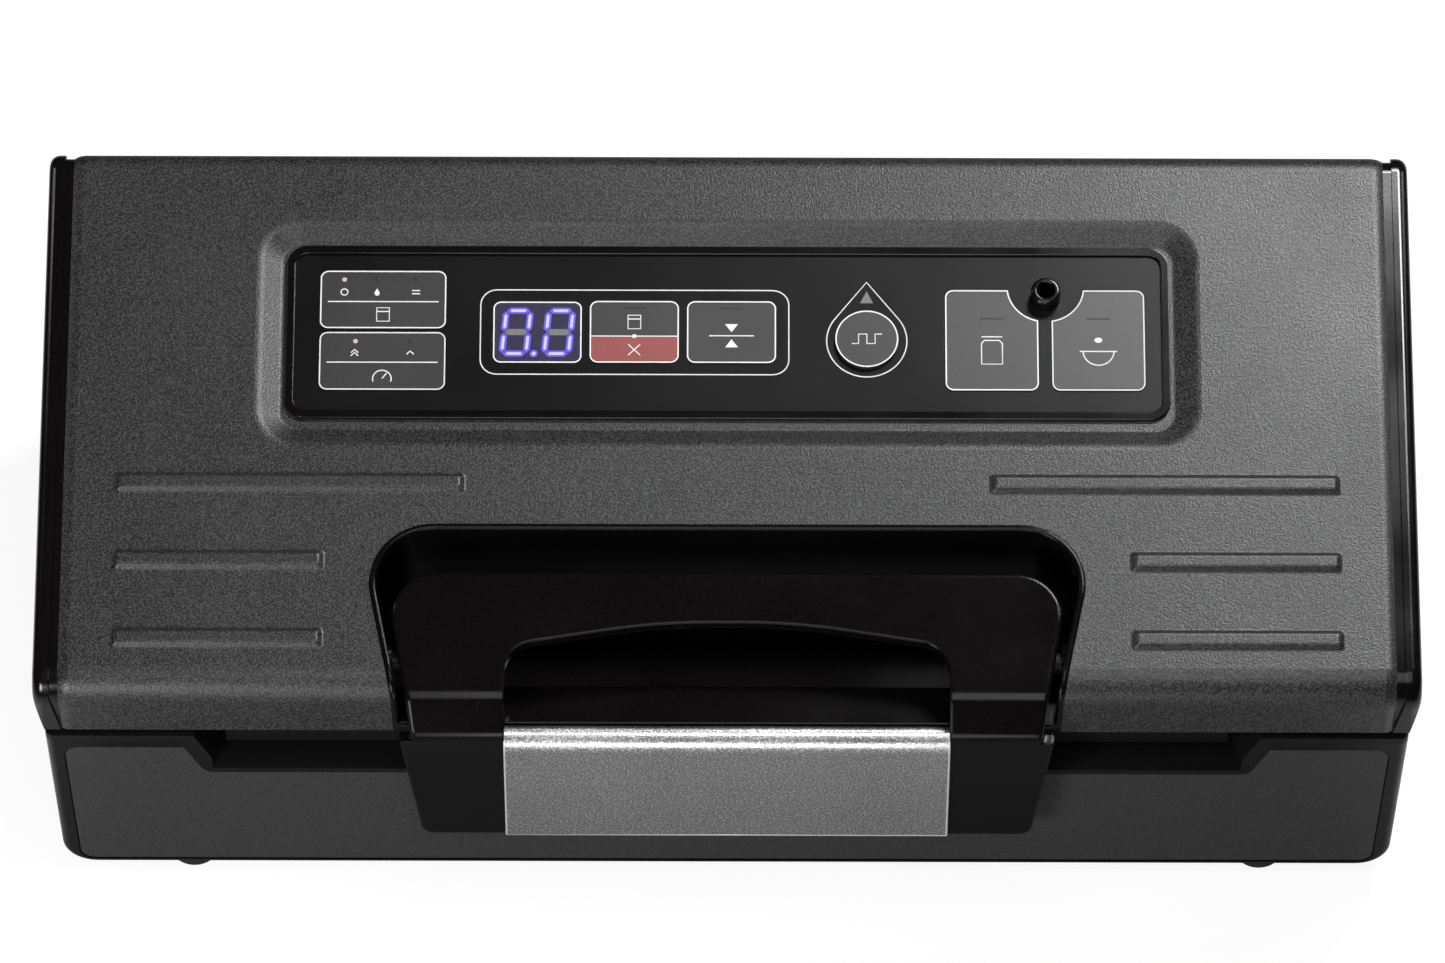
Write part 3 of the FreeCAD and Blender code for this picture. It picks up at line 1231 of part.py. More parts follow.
def make_handle_frame():
    """Moulded handle: plate in the well, shoulders, arms and the core of the grip."""
    sharp = "tan(handle_mitre)"
    thick = "handle_thickness"
    inner_bend = (
        f"bend_y + {thick} * sin(lid_slope) + {thick} * {sharp} * cos(lid_slope)",
        f"bend_z - {thick} * cos(lid_slope) + {thick} * {sharp} * sin(lid_slope)",
    )
    points = [
        (slope_y("plate_rear", "0"), slope_z("plate_rear", "0")),
        ("bend_y", "bend_z"),
        ("apron_y", "apron_z"),
        ("apron_y", "handle_low"),
        (f"apron_y + {thick}", "handle_low"),
        (f"apron_y + {thick}", f"apron_z - {thick} * {sharp}"),
        inner_bend,
        (slope_y("plate_rear", f"-{thick}"), slope_z("plate_rear", f"-{thick}")),
    ]
    rounds = [((1,), "upper_bend"), ((2,), "lower_bend")]
    profile = prism("handle_profile", "YZ", points, both("plate_rear_half"), rounds)
    front_up = "-2 * shoulder_drop"
    front_half = "plate_rear_half - plate_taper * (plate_rear + 2 * shoulder_drop)"
    outline = [
        ("-plate_rear_half", "plate_rear"),
        (f"-({front_half})", front_up),
        (front_half, front_up),
        ("plate_rear_half", "plate_rear"),
    ]
    split = "apron_z - lower_bend / 2"
    out_span = ("-4 * shoulder_drop", "shoulder_drop")
    top_outline = slope_prism("handle_top_outline", outline, out_span, [((0, 3), "plate_corner")])
    depth = ("front_limit - handle_proud", "lid_front + 2 * plate_rear")
    top_room = box("handle_top_room", both("plate_rear_half"), depth, (split, "lid_peak"))
    top = common("handle_top_room_shaped", top_outline, top_room)
    apron_points = [
        ("-apron_bottom_half", "handle_low"),
        ("apron_bottom_half", "handle_low"),
        ("apron_top_half", split),
        ("-apron_top_half", split),
    ]
    apron = prism("handle_apron_outline", "XZ", apron_points, depth, [((0, 1), "apron_corner")])
    shaped = common("handle_shaped", profile, fuse("handle_outline", top, apron))

    def upper_rim(edge):
        up, out = lid_place(edge.CenterOfMass)
        return abs(out) < TOUCH and up > 0 and abs(edge.CenterOfMass.x) + up > value("plate_corner")

    rimmed = soften("handle_rimmed", shaped, "plate_soften", upper_rim)
    face = value("apron_y")
    level = value(split)

    def front_rim(edge):
        middle = edge.CenterOfMass
        return abs(middle.y - face) < TOUCH and middle.z < level - TOUCH

    softened = soften("handle_softened", rimmed, "apron_soften", front_rim)
    finger = [
        ("-grip_half", "-2 * shoulder_drop"),
        ("grip_half", "-2 * shoulder_drop"),
        ("grip_half", "finger_side_rear"),
        ("finger_flat", "finger_rear"),
        ("-finger_flat", "finger_rear"),
        ("-grip_half", "finger_side_rear"),
    ]
    finger_rounds = [((2, 5), "finger_corner"), ((3, 4), "finger_arch")]
    finger_prism = slope_prism("finger_prism", finger, out_span, finger_rounds)
    above_core = box("finger_room", both("grip_half"), depth, ("core_top", "lid_peak"))
    opening = common("finger_opening", finger_prism, above_core)
    heel = box(
        "grip_heel_room",
        both("grip_half"),
        depth,
        ("handle_low - wall", "handle_low + grip_skin + snug_gap"),
    )
    opened = cut("handle_opened", softened, opening, heel)
    lugs = []
    bores = []
    for side in (-1, 1):
        span = around(f"{side} * (lug_inner + lug_width / 2)", "lug_width / 2")
        axis = ("pivot_y", "pivot_z")
        lugs.append(cylinder(f"handle_lug_{side + 1}", "X", "lug_radius", span, axis))
        bores.append(cylinder(f"handle_bore_{side + 1}", "X", "shaft_radius + shaft_gap", span, axis))
    return cut("handle_frame", fuse("handle_whole", opened, *lugs), *bores)


def make_handle_grip():
    """Metal grip that wraps the core of the handle."""
    back = "front_limit + grip_depth"
    points = [
        ("front_limit", "handle_low"),
        (back, "handle_low"),
        (back, "grip_top"),
        ("front_limit", "grip_top"),
    ]
    rounds = [((3,), "grip_roll"), ((2,), "grip_back_roll"), ((0,), "grip_heel")]
    block = prism("grip_block", "YZ", points, both("grip_half - snug_gap"), rounds)
    room_levels = ("handle_low + grip_skin", "core_top + snug_gap")
    room = box("grip_room", both("grip_half"), ("front_limit + grip_skin", f"{back} + wall"), room_levels)
    return cut("handle_grip", block, room)


def make_latch():
    """Shafts turned by the handle, and the hooks at their outer ends."""
    made = []
    for tag, side in (("right", 1), ("left", -1)):
        inner = "shaft_inner" if side > 0 else "-post_centre - post_width"
        outer = "post_centre + post_width" if side > 0 else "-shaft_inner"
        axis = ("pivot_y", "pivot_z")
        made.append(cylinder(f"latch_shaft_{tag}", "X", "shaft_radius", (inner, outer), axis))
        span = around(f"{side} * hook_centre", "hook_width / 2")
        front = "pivot_y - hook_shank / 2"
        tip = "pivot_y + nose_reach"
        points = [
            (front, "pivot_z"),
            (front, "nose_low"),
            (tip, "nose_low"),
            (tip, "nose_top"),
            ("pivot_y + hook_shank / 2", "nose_top"),
            ("pivot_y + hook_shank / 2", "pivot_z"),
        ]
        shank = prism(f"hook_shank_{tag}", "YZ", points, span)
        hub = cylinder(f"hook_hub_{tag}", "X", "hook_hub", span, axis)
        bore = cylinder(f"hook_bore_{tag}", "X", "shaft_radius + shaft_gap", span, axis)
        made.append(cut(f"latch_hook_{tag}", fuse(f"hook_whole_{tag}", shank, hub), bore))
    return made


def make_handle_springs():
    """Coil springs around the latch shafts that bring the handle back."""
    coils = []
    for side in (-1, 1):
        helix = doc.addObject("Part::Helix", f"spring_helix_{side + 1}")
        helix.setExpression("Pitch", bind("spring_pitch"))
        helix.setExpression("Height", bind("spring_length"))
        helix.setExpression("Radius", bind("spring_radius"))
        wire = doc.addObject("Part::Circle", f"spring_wire_{side + 1}")
        wire.setExpression("Radius", bind("spring_wire"))
        wire.Placement = FreeCAD.Placement(V(), FreeCAD.Rotation(V(1, 0, 0), 90))
        wire.setExpression("Placement.Base.x", bind("spring_radius"))
        coil = doc.addObject("Part::Sweep", f"spring_coil_{side + 1}")
        coil.Sections = [wire]
        coil.Spine = (helix, ["Edge1"])
        coil.Solid = True
        coil.Frenet = True
        coil.Placement = FreeCAD.Placement(V(), FreeCAD.Rotation(V(0, 1, 0), 90))
        start = "spring_start" if side > 0 else "-spring_start - spring_length"
        coils.append(move(coil, start, "pivot_y", "pivot_z"))
    return group("handle_springs", *coils)


def make_catches():
    """Spring steel leaves under the deck that the hooks snap behind."""
    leaves = []
    for side in (-1, 1):
        xs = around(f"{side} * hook_centre", "catch_width / 2")
        front = "pivot_y + nose_reach - catch_bite"
        back = f"{front} + catch_length"
        leaf_top = "catch_low + catch_thickness"
        leaf = box(f"catch_leaf_{side + 1}", xs, (front, back), ("catch_low", leaf_top))
        root = box(f"catch_root_{side + 1}", xs, (f"{back} - catch_root", back), (leaf_top, "base_top"))
        leaves.append(fuse(f"catch_{side + 1}", leaf, root))
    return group("latch_catches", *leaves)


# Base


def bowl_prism(name, half, low, high, span, rounds=()):
    """A block with the bag place's flared section; half is its half width at the deck's floor."""
    low_half = f"({half}) + bowl_flare * (({low}) - deck_floor)"
    high_half = f"({half}) + bowl_flare * (({high}) - deck_floor)"
    points = [(f"-({low_half})", low), (low_half, low), (high_half, high), (f"-({high_half})", high)]
    return prism(name, "XZ", points, span, rounds)


def shell_prism(name, gap, high, span):
    """The outside of the bag place's shell, grown by a gap."""
    half = f"bowl_mouth + deck_wall * (1 + bowl_flare) + {gap}"
    rounds = [((0, 1), f"notch_corner + {gap}")]
    return bowl_prism(name, half, f"deck_floor - deck_wall - ({gap})", high, span, rounds)


def make_deck():
    """Moulded deck: rim, bag place, vacuum trough, bar channel, hinge lugs and posts."""
    rim = plate(
        "deck_rim",
        both("base_half"),
        ("base_front", "base_back"),
        ("base_top", "deck_top"),
        "base_edge_round",
    )
    bowl_span = ("base_front", "bowl_rear + deck_wall")
    solids = [rim, shell_prism("deck_bowl", "0", "base_top", bowl_span)]
    trough_span = ("trough_start", "trough_end")
    trough_out = grown(trough_span, "deck_wall")
    trough_levels = ("trough_low - deck_wall", "deck_floor")
    trough_corner = "trough_corner + deck_wall"
    solids.append(
        plate("deck_trough", both("trough_half + deck_wall"), trough_out, trough_levels, trough_corner)
    )
    channel_low = "bar_top - bar_height"
    channel_span = grown(("bar_start", "bar_end"), "deck_wall")
    channel_levels = (f"{channel_low} - deck_wall", "deck_floor")
    solids.append(box("deck_channel", both("pad_half + deck_wall"), channel_span, channel_levels))
    above = "deck_top + wall"
    cuts = [
        bowl_prism("deck_bowl_room", "bowl_half", "deck_floor", above, ("base_front - wall", "bowl_rear"))
    ]
    funnel = [
        ("-bowl_mouth", "base_front"),
        ("bowl_mouth", "base_front"),
        ("bowl_half", "base_front + bowl_funnel"),
        ("-bowl_half", "base_front + bowl_funnel"),
    ]
    cuts.append(prism("deck_funnel", "XY", funnel, ("deck_floor", above)))
    cuts.append(
        plate("deck_trough_room", both("trough_half"), trough_span, ("trough_low", above), "trough_corner")
    )
    bar_room = grown(("bar_start", "bar_end"), "snug_gap")
    cuts.append(box("deck_channel_room", both("pad_half + snug_gap"), bar_room, (channel_low, above)))
    ring_levels = ("deck_floor - gasket_groove", above)
    cuts.append(
        ring(
            "deck_groove",
            "gasket_half",
            ("gasket_start", "gasket_end"),
            ring_levels,
            "snug_gap",
        ),
    )
    late = []
    extras = []
    for side in (-1, 1):
        tag = "right" if side > 0 else "left"
        cuts.append(latch_slot(f"deck_slot_{tag}", side, ("base_top - wall", above)))
        hinge = f"{side} * hinge_centre"
        axis = ("hinge_y", "hinge_z")
        knuckle_room = around(hinge, "knuckle_half + fit_gap")
        room_span = ("hinge_y - knuckle_radius - 2 * fit_gap", "base_back + wall")
        cuts.append(box(f"deck_knuckle_room_{tag}", knuckle_room, room_span, ("base_top - wall", above)))
        for end in (-1, 1):
            lug = around(
                f"{hinge} + {end} * (knuckle_half + fit_gap + lug_thickness / 2)", "lug_thickness / 2"
            )
            lug_span = ("hinge_y - lug_root", "hinge_y")
            extras.append(box(f"deck_lug_{tag}_{end + 1}", lug, lug_span, ("base_top", "hinge_z")))
            extras.append(cylinder(f"deck_lug_head_{tag}_{end + 1}", "X", "knuckle_radius", lug, axis))
            late.append(
                cylinder(f"deck_lug_bore_{tag}_{end + 1}", "X", "pin_radius + shaft_gap", lug, axis)
            )
        for row, y in enumerate(("post_front", "post_back")):
            spot = (f"{side} * post_x", y)
            seat = "foot_height + screw_seat"
            extras.append(
                cylinder(
                    f"deck_post_{tag}_{row}", "Z", "screw_post", (seat, "base_top + deck_flange / 2"), spot
                ),
            )
            pilot = (seat, f"{seat} + screw_length")
            late.append(cylinder(f"deck_pilot_{tag}_{row}", "Z", "screw_shank + shaft_gap", pilot, spot))
    outlet = ("outlet_x", "(trough_start + trough_end) / 2")
    extras.append(
        cylinder("deck_outlet", "Z", "spigot_radius", ("outlet_low", "trough_low - deck_wall / 2"), outlet)
    )
    late.append(cylinder("deck_outlet_bore", "Z", "spigot_bore", ("outlet_low", "trough_low + wall"), outlet))
    shell = cut("deck_shell", fuse("deck_solid", *solids), *cuts)
    return cut("deck", fuse("deck_whole", shell, *extras), *late)


def side_half(level, inset):
    """Half width of the base at a level, drawn in by inset."""
    return f"base_half - base_lean * (base_top - ({level})) / base_height - ({inset})"


def side_prism(name, inset, low, high, span, rounds):
    """A block with the base's drafted section."""
    low_half = side_half(low, inset)
    high_half = side_half(high, inset)
    points = [(f"-({low_half})", low), (low_half, low), (high_half, high), (f"-({high_half})", high)]
    return prism(name, "XZ", points, span, rounds)


def panel_prism(name, gap, span):
    """The front panel's outline with a gap around it."""
    low = f"panel_low - ({gap})"
    high = f"panel_top + {gap}"
    return side_prism(
        name, f"panel_inset - ({gap})", low, high, span, [((0, 1, 2, 3), f"panel_corner + {gap}")]
    )


def foot_spots():
    """Where the four feet stand."""
    rows = ("base_front + foot_inset", "base_back - foot_inset")
    return [(f"{side} * foot_x", y) for side in (-1, 1) for y in rows]


def board_corners():
    """Where the power board stands on its standoffs."""
    xs = ("board_start + standoff_inset", "board_start + board_width - standoff_inset")
    ys = ("board_front + standoff_inset", "board_front + board_depth - standoff_inset")
    return [(x, y) for x in xs for y in ys]


def inlet_block(name, by, span):
    """The power inlet's section grown by a wall or a gap."""
    xs = around("inlet_x", f"inlet_half + {by}")
    return box(name, xs, span, around("inlet_z", f"inlet_half_height + {by}"))


def make_base_shell():
    """Moulded tub with a pocket for the front panel, seats, standoffs and vents."""
    depth = ("base_front", "base_back")
    block = side_prism("base_block", "0", "foot_height", "base_top", depth, [((0, 1), "base_corner")])
    faces = (value("base_front"), value("base_back"))
    top = value("base_top")

    def face_rim(edge):
        middle = edge.CenterOfMass
        on_face = any(abs(middle.y - face) < TOUCH for face in faces)
        return on_face and middle.z < top - TOUCH

    rounded = soften("base_rounded", block, "base_edge_round", face_rim)
    front_wall = "base_front + pocket_depth + wall"
    room_span = (front_wall, "base_back - wall")
    room = side_prism(
        "base_room", "wall", "base_floor", "base_top + wall", room_span, [((0, 1), "base_corner - wall")]
    )
    hollow = cut("base_hollow", rounded, room)
    seats = []
    cuts = []
    for number, spot in enumerate(board_corners()):
        seats.append(
            cylinder(
                f"standoff_{number}", "Z", "standoff_radius", ("base_floor - wall / 2", "board_level"), spot
            ),
        )
    for side in (-1, 1):
        for row, y in enumerate(("post_front", "post_back")):
            spot = (f"{side} * post_x", y)
            seat_top = "foot_height + screw_seat - snug_gap"
            sink = "foot_height + screw_seat - wall"
            tag = f"{side + 1}_{row}"
            seats.append(
                cylinder(
                    f"base_seat_{tag}",
                    "Z",
                    "screw_post + wall / 2",
                    ("foot_height + wall / 2", seat_top),
                    spot,
                ),
            )
            sink_span = ("foot_height - wall", sink)
            cuts.append(cylinder(f"base_sink_{tag}", "Z", "screw_head + snug_gap", sink_span, spot))
            cuts.append(
                cylinder(f"base_screw_hole_{tag}", "Z", "screw_shank + snug_gap", (sink, seat_top), spot)
            )
    wall_span = ("base_front - wall", front_wall)
    cuts.append(shell_prism("base_notch", "snug_gap", "base_top + wall", wall_span))
    cuts.append(panel_prism("base_pocket", "panel_gap", ("base_front - wall", "base_front + pocket_depth")))
    for number, spot in enumerate(foot_spots()):
        hole = ("foot_height - wall", "base_floor + wall")
        cuts.append(cylinder(f"foot_hole_{number}", "Z", "foot_stem + snug_gap", hole, spot))
    inlet_span = ("base_back - 2 * wall", "base_back + wall")
    cuts.append(inlet_block("inlet_hole", "inlet_wall + snug_gap", inlet_span))
    for number in range(int(value("vent_count"))):
        x = f"({number} - (vent_count - 1) / 2) * vent_pitch + (motor_start + case_end) / 2"
        vent_levels = ("foot_height - wall", "base_floor + wall")
        vent = box(
            f"vent_{number}", around(x, "vent_width / 2"), around("pump_y", "vent_length / 2"), vent_levels
        )
        cuts.append(vent)
    return cut("base_shell", fuse("base_whole", hollow, *seats), *cuts)


def make_front_panel():
    """Coated steel panel let into the base's front."""
    span = ("panel_face", "panel_face + panel_thickness")
    sheet = panel_prism("panel_sheet", "0", span)
    wide = ("base_front - wall", "base_front + 2 * wall")
    notch = shell_prism("panel_notch", "panel_gap", "base_top + wall", wide)
    return cut("front_panel", sheet, notch)


def make_feet():
    """Push-in rubber feet."""

    def standing_rim(edge):
        return edge.CenterOfMass.z < TOUCH and edge.Closed

    feet = []
    for number, spot in enumerate(foot_spots()):
        pad = cylinder(f"foot_pad_{number}", "Z", "foot_radius", ("0", "foot_height"), spot)
        soft = soften(f"foot_soft_{number}", pad, "foot_soften", standing_rim)
        stem = cylinder(
            f"foot_stem_{number}", "Z", "foot_stem", ("foot_height / 2", "base_floor + wall"), spot
        )
        barb_levels = ("base_floor + snug_gap", "base_floor + wall")
        barb = cylinder(f"foot_barb_{number}", "Z", "foot_barb", barb_levels, spot)
        feet.append(fuse(f"foot_{number}", soft, stem, barb))
    return group("rubber_feet", *feet)


def screw(name, spot, seat, length):
    """A screw with its head below seat and its shank above."""
    head = cylinder(name + "_head", "Z", "screw_head", (f"{seat} - screw_head_height", seat), spot)
    shank = cylinder(name + "_shank", "Z", "screw_shank", (seat, f"{seat} + ({length})"), spot)
    return fuse(name, head, shank)


def make_screws():
    """Screws that hold the base together and screws that hold the lid together."""
    base = []
    lid = []
    for side in (-1, 1):
        for row, y in enumerate(("post_front", "post_back")):
            seat = "foot_height + screw_seat - wall"
            base.append(
                screw(f"base_screw_{side + 1}_{row}", (f"{side} * post_x", y), seat, "screw_length")
            )
        for step in (-1, 0, 1):
            spot = (f"{side} * lid_screw_x", f"lid_screw_y + {step} * lid_screw_pitch")
            length = "wall + tab_thickness"
            lid.append(screw(f"lid_screw_{side + 1}_{step + 1}", spot, "under_low", length))
    return group("base_screws", *base), group("lid_screws", *lid)


def make_hinge_pins():
    """Pins through the deck's lugs and the lid's knuckles."""
    reach = "knuckle_half + fit_gap + lug_thickness"
    pins = []
    for side in (-1, 1):
        span = around(f"{side} * hinge_centre", reach)
        pins.append(cylinder(f"hinge_pin_{side + 1}", "X", "pin_radius", span, ("hinge_y", "hinge_z")))
    return group("hinge_pins", *pins)


# Pump, valve and power


def make_pump():
    """Motor, crankcase, head, and the bracket on its rubber isolators."""
    axis = ("pump_y", "pump_z")
    can = cylinder("motor_can", "X", "motor_radius", ("motor_start", "case_start"), axis)
    motor_bore = cylinder(
        "motor_bore", "X", "drive_radius + shaft_gap", ("motor_start - wall", "case_start + wall"), axis
    )
    motor = cut("pump_motor", can, motor_bore)
    case_depth = around("pump_y", "case_half")
    case_levels = around("pump_z", "case_half_height")
    case_block = box("case_block", ("case_start", "case_end"), case_depth, case_levels)
    cavity_span = ("case_start + case_wall", "case_end - case_wall")
    cavity = cylinder("case_cavity_room", "X", "case_cavity", cavity_span, axis)
    case_bore_span = ("case_start - wall", "case_start + 2 * case_wall")
    case_bore = cylinder("case_bore", "X", "drive_radius + shaft_gap", case_bore_span, axis)
    case = cut("pump_crankcase", case_block, cavity, case_bore)
    head_xs = ("case_start + head_inset", "case_end - head_inset")
    head_block = box(
        "head_block",
        head_xs,
        around("pump_y", "case_half - head_inset"),
        ("head_z", "head_z + head_height"),
    )
    spigot_at = ("pump_y", "head_spigot_z")
    spigot_span = ("case_end - head_inset - wall", "case_end + spigot_height")
    head_spigot = cylinder("head_spigot", "X", "spigot_radius", spigot_span, spigot_at)
    head_bore = cylinder(
        "head_bore",
        "X",
        "spigot_bore",
        ("case_end - 3 * head_inset", "case_end + 2 * spigot_height"),
        spigot_at,
    )
    head = cut("pump_head", fuse("head_whole", head_block, head_spigot), head_bore)
    plate_xs = ("motor_start - bracket_margin", "case_end + bracket_margin")
    plate_levels = ("bracket_top - bracket_thickness", "bracket_top")
    sheet = plate(
        "bracket_sheet", plate_xs, around("pump_y", "bracket_half"), plate_levels, "bracket_margin / 2"
    )
    cradle_xs = around("motor_start + cradle_width", "cradle_width / 2")
    cradle_levels = ("bracket_top - bracket_thickness / 2", "bracket_top + cradle_height")
    cradle_block = box("cradle_block", cradle_xs, around("pump_y", "cradle_half"), cradle_levels)
    cradle_room = cylinder("cradle_room", "X", "motor_radius + snug_gap", cradle_xs, axis)
    bracket = cut("pump_bracket", fuse("bracket_whole", sheet, cradle_block), cradle_room)
    isolators = []
    for column, x in enumerate((f"{plate_xs[0]} + isolator_inset", f"{plate_xs[1]} - isolator_inset")):
        for row in (-1, 1):
            spot = (x, f"pump_y + {row} * (bracket_half - isolator_inset)")
            levels = ("base_floor", "bracket_top - bracket_thickness")
            isolators.append(cylinder(f"isolator_{column}_{row + 1}", "Z", "isolator_radius", levels, spot))
    return motor, case, head, bracket, group("pump_isolators", *isolators)


def make_drive():
    """What the motor turns: the shaft, the eccentric and the cooling fan."""
    axis = ("pump_y", "pump_z")
    shaft_span = ("motor_start - drive_tail", "case_end - case_wall - 2 * snug_gap")
    shaft = cylinder("pump_shaft", "X", "drive_radius", shaft_span, axis)
    middle = "(case_start + case_end) / 2"
    disc_span = around(middle, "eccentric_width / 2")
    disc = cylinder(
        "eccentric_disc", "X", "eccentric_radius", disc_span, ("pump_y", "pump_z + eccentric_offset")
    )
    disc_bore = cylinder("eccentric_bore", "X", "drive_radius + shaft_gap", disc_span, axis)
    eccentric = cut("pump_eccentric", disc, disc_bore)
    fan_span = ("motor_start - fan_room - fan_width", "motor_start - fan_room")
    hub = cylinder("fan_hub_block", "X", "fan_hub", fan_span, axis)
    blades = []
    blade_count = int(value("fan_blades"))
    for number in range(blade_count):
        blade = doc.addObject("Part::Box", f"fan_blade_{number}")
        blade.setExpression("Length", bind("fan_width"))
        blade.setExpression("Width", bind("fan_radius"))
        blade.setExpression("Height", bind("fan_blade"))
        turn = FreeCAD.Rotation(V(1, 0, 0), number * 360 / blade_count)
        blade.Placement = FreeCAD.Placement(V(), turn)
        blades.append(move(blade, fan_span[0], *axis))
    fan_bore = cylinder("fan_bore", "X", "drive_radius + shaft_gap", fan_span, axis)
    fan = cut("cooling_fan", fuse("fan_whole", hub, *blades), fan_bore)
    return shaft, eccentric, fan


def make_valve():
    """Vacuum valve between the trough and the pump, with its hoses."""
    body_depth = around("pump_y", "valve_size / 2")
    body = box(
        "valve_body", around("outlet_x", "valve_size / 2"), body_depth, around("valve_z", "valve_size / 2")
    )
    face = "pump_y - valve_size / 2"
    inlet_span = (f"{face} - spigot_height", f"{face} + wall")
    inlet = cylinder("valve_inlet", "Y", "spigot_radius", inlet_span, ("outlet_x", "valve_z"))
    top = "valve_z + valve_size / 2"
    outlet_levels = (f"{top} - wall", f"{top} + spigot_height")
    outlet = cylinder("valve_outlet", "Z", "spigot_radius", outlet_levels, ("outlet_x", "pump_y"))
    coil_span = ("outlet_x + valve_size / 2 - wall", "outlet_x + valve_size / 2 + valve_coil_length")
    coil = cylinder("valve_coil_body", "X", "valve_coil", coil_span, ("pump_y", "valve_z"))
    valve = fuse("vacuum_valve", body, inlet, outlet, coil)
    middle = "(trough_start + trough_end) / 2"
    inner = "spigot_radius + shaft_gap"
    first_route = (
        ("outlet_x", middle, "trough_low - deck_wall - snug_gap"),
        ("outlet_x", middle, "valve_z"),
        ("outlet_x", f"{face} - snug_gap", "valve_z"),
    )
    first = tube("trough_hose", first_route, "hose_radius", inner)
    second_route = (
        ("outlet_x", "pump_y", f"{top} + snug_gap"),
        ("outlet_x", "pump_y", "head_spigot_z"),
        ("case_end + snug_gap", "pump_y", "head_spigot_z"),
    )
    second = tube("pump_hose", second_route, "hose_radius", inner)
    return valve, first, second


def make_power():
    """Power board, transformer and the inlet with its contacts."""
    xs = ("board_start", "board_start + board_width")
    ys = ("board_front", "board_front + board_depth")
    sheet = box("power_board", xs, ys, ("board_level", "board_top"))
    core_x = "board_start + transformer_inset"
    core_y = "board_front + transformer_inset"
    core_xs = (core_x, f"{core_x} + transformer_width")
    core_levels = ("board_top", "board_top + transformer_height")
    winding_ys = (core_y, f"{core_y} + transformer_depth")
    core = box("transformer_core", core_xs, grown(winding_ys, "-winding_inset"), core_levels)
    winding_levels = ("board_top + winding_inset", "board_top + transformer_height - winding_inset")
    winding_xs = grown(core_xs, "-winding_inset")
    winding = box("transformer_winding", winding_xs, winding_ys, winding_levels)
    transformer = fuse("transformer", core, winding)
    back = "base_back - inlet_depth - inlet_wall"
    body = inlet_block("inlet_body", "inlet_wall", (back, "base_back + inlet_flange_thickness / 2"))
    flange = inlet_block(
        "inlet_flange_block", "inlet_flange", ("base_back", "base_back + inlet_flange_thickness")
    )
    socket = inlet_block("inlet_socket", "0", ("base_back - inlet_depth", "base_back + 2 * wall"))
    blades = []
    rooms = []
    for step in (-1, 0, 1):
        x = f"inlet_x + {step} * inlet_pitch"
        levels = ("inlet_z + inlet_contact", "inlet_z + 3 * inlet_contact")
        blade_xs = around(x, "inlet_contact / 2")
        span = (f"{back} - inlet_flange", "base_back - inlet_contact")
        blades.append(box(f"contact_{step + 1}", blade_xs, span, levels))
        room_span = (f"{back} - wall", "base_back")
        rooms.append(
            box(
                f"contact_room_{step + 1}",
                grown(blade_xs, "shaft_gap"),
                room_span,
                grown(levels, "shaft_gap"),
            ),
        )
    inlet = cut("power_inlet", fuse("inlet_whole", body, flange), socket, *rooms)
    return sheet, transformer, inlet, group("inlet_contacts", *blades)


parts = [make_lid_skin(), *make_end_caps(), make_lid_underside(), make_handle_well()]
parts += [make_bezel(), make_fascia(), *make_display(), *make_keypad(), make_hose_port(), make_port_hose()]
parts += [make_key(key) for key in ALL_KEYS]
parts += [*make_seals(), *make_seal_bar()]
parts += [make_handle_frame(), make_handle_grip(), *make_latch(), make_handle_springs(), make_catches()]
parts += [
    make_deck(), make_base_shell(), make_front_panel(), make_feet(), *make_screws(), make_hinge_pins()
]
parts += [*make_pump(), *make_drive(), *make_valve(), *make_power()]

doc.recompute()

for obj in doc.Objects:
    if "Invalid" in obj.State or "Error" in obj.State:
        raise RuntimeError(f"{obj.Label} failed: {obj.State}")
for part in parts:
    if part.Shape.isNull() or not part.Shape.isValid():
        raise RuntimeError(f"{part.Label} has no valid shape")

os.makedirs("parts", exist_ok=True)
for part in parts:
    part.Shape.exportStep(f"parts/{part.Label}.step")
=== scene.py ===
"""Looks of the vacuum sealer: finishes, a painted highlight along the grip's edge, key signs, lamps, display and
studio.
"""
import json
import math

import bmesh
import bpy
from bpy.props import FloatProperty, FloatVectorProperty, PointerProperty
from mathutils import Matrix, Vector


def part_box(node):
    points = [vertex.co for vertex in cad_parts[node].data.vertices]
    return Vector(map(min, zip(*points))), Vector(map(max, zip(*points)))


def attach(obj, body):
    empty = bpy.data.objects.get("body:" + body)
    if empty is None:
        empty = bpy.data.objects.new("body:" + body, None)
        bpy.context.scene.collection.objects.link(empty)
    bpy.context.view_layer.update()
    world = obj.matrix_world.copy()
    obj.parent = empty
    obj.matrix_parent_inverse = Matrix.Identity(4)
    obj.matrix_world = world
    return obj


bl_info = {
    "name": "Vacuum sealer dressing",
    "version": (1, 0, 0),
    "blender": (4, 5, 0),
    "location": "3D View > Sidebar > Sealer",
    "description": "Finishes, grip edge, key signs, lamps, display and studio of a vacuum sealer",
    "category": "Object",
}

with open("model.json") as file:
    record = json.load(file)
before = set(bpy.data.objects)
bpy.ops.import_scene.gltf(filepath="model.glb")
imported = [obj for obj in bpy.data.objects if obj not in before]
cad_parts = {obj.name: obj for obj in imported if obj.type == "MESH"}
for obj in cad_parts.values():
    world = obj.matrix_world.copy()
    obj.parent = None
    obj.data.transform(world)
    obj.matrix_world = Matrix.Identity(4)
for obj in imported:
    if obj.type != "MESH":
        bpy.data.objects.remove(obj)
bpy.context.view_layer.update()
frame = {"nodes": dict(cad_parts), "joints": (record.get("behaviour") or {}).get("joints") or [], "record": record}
NODES = frame["nodes"]
SLOT_OF = {part["node"]: part["material_slot"] for part in frame["record"]["subparts"]}
JOINTS = {joint["name"]: joint for joint in frame["joints"]}
MM = 0.001

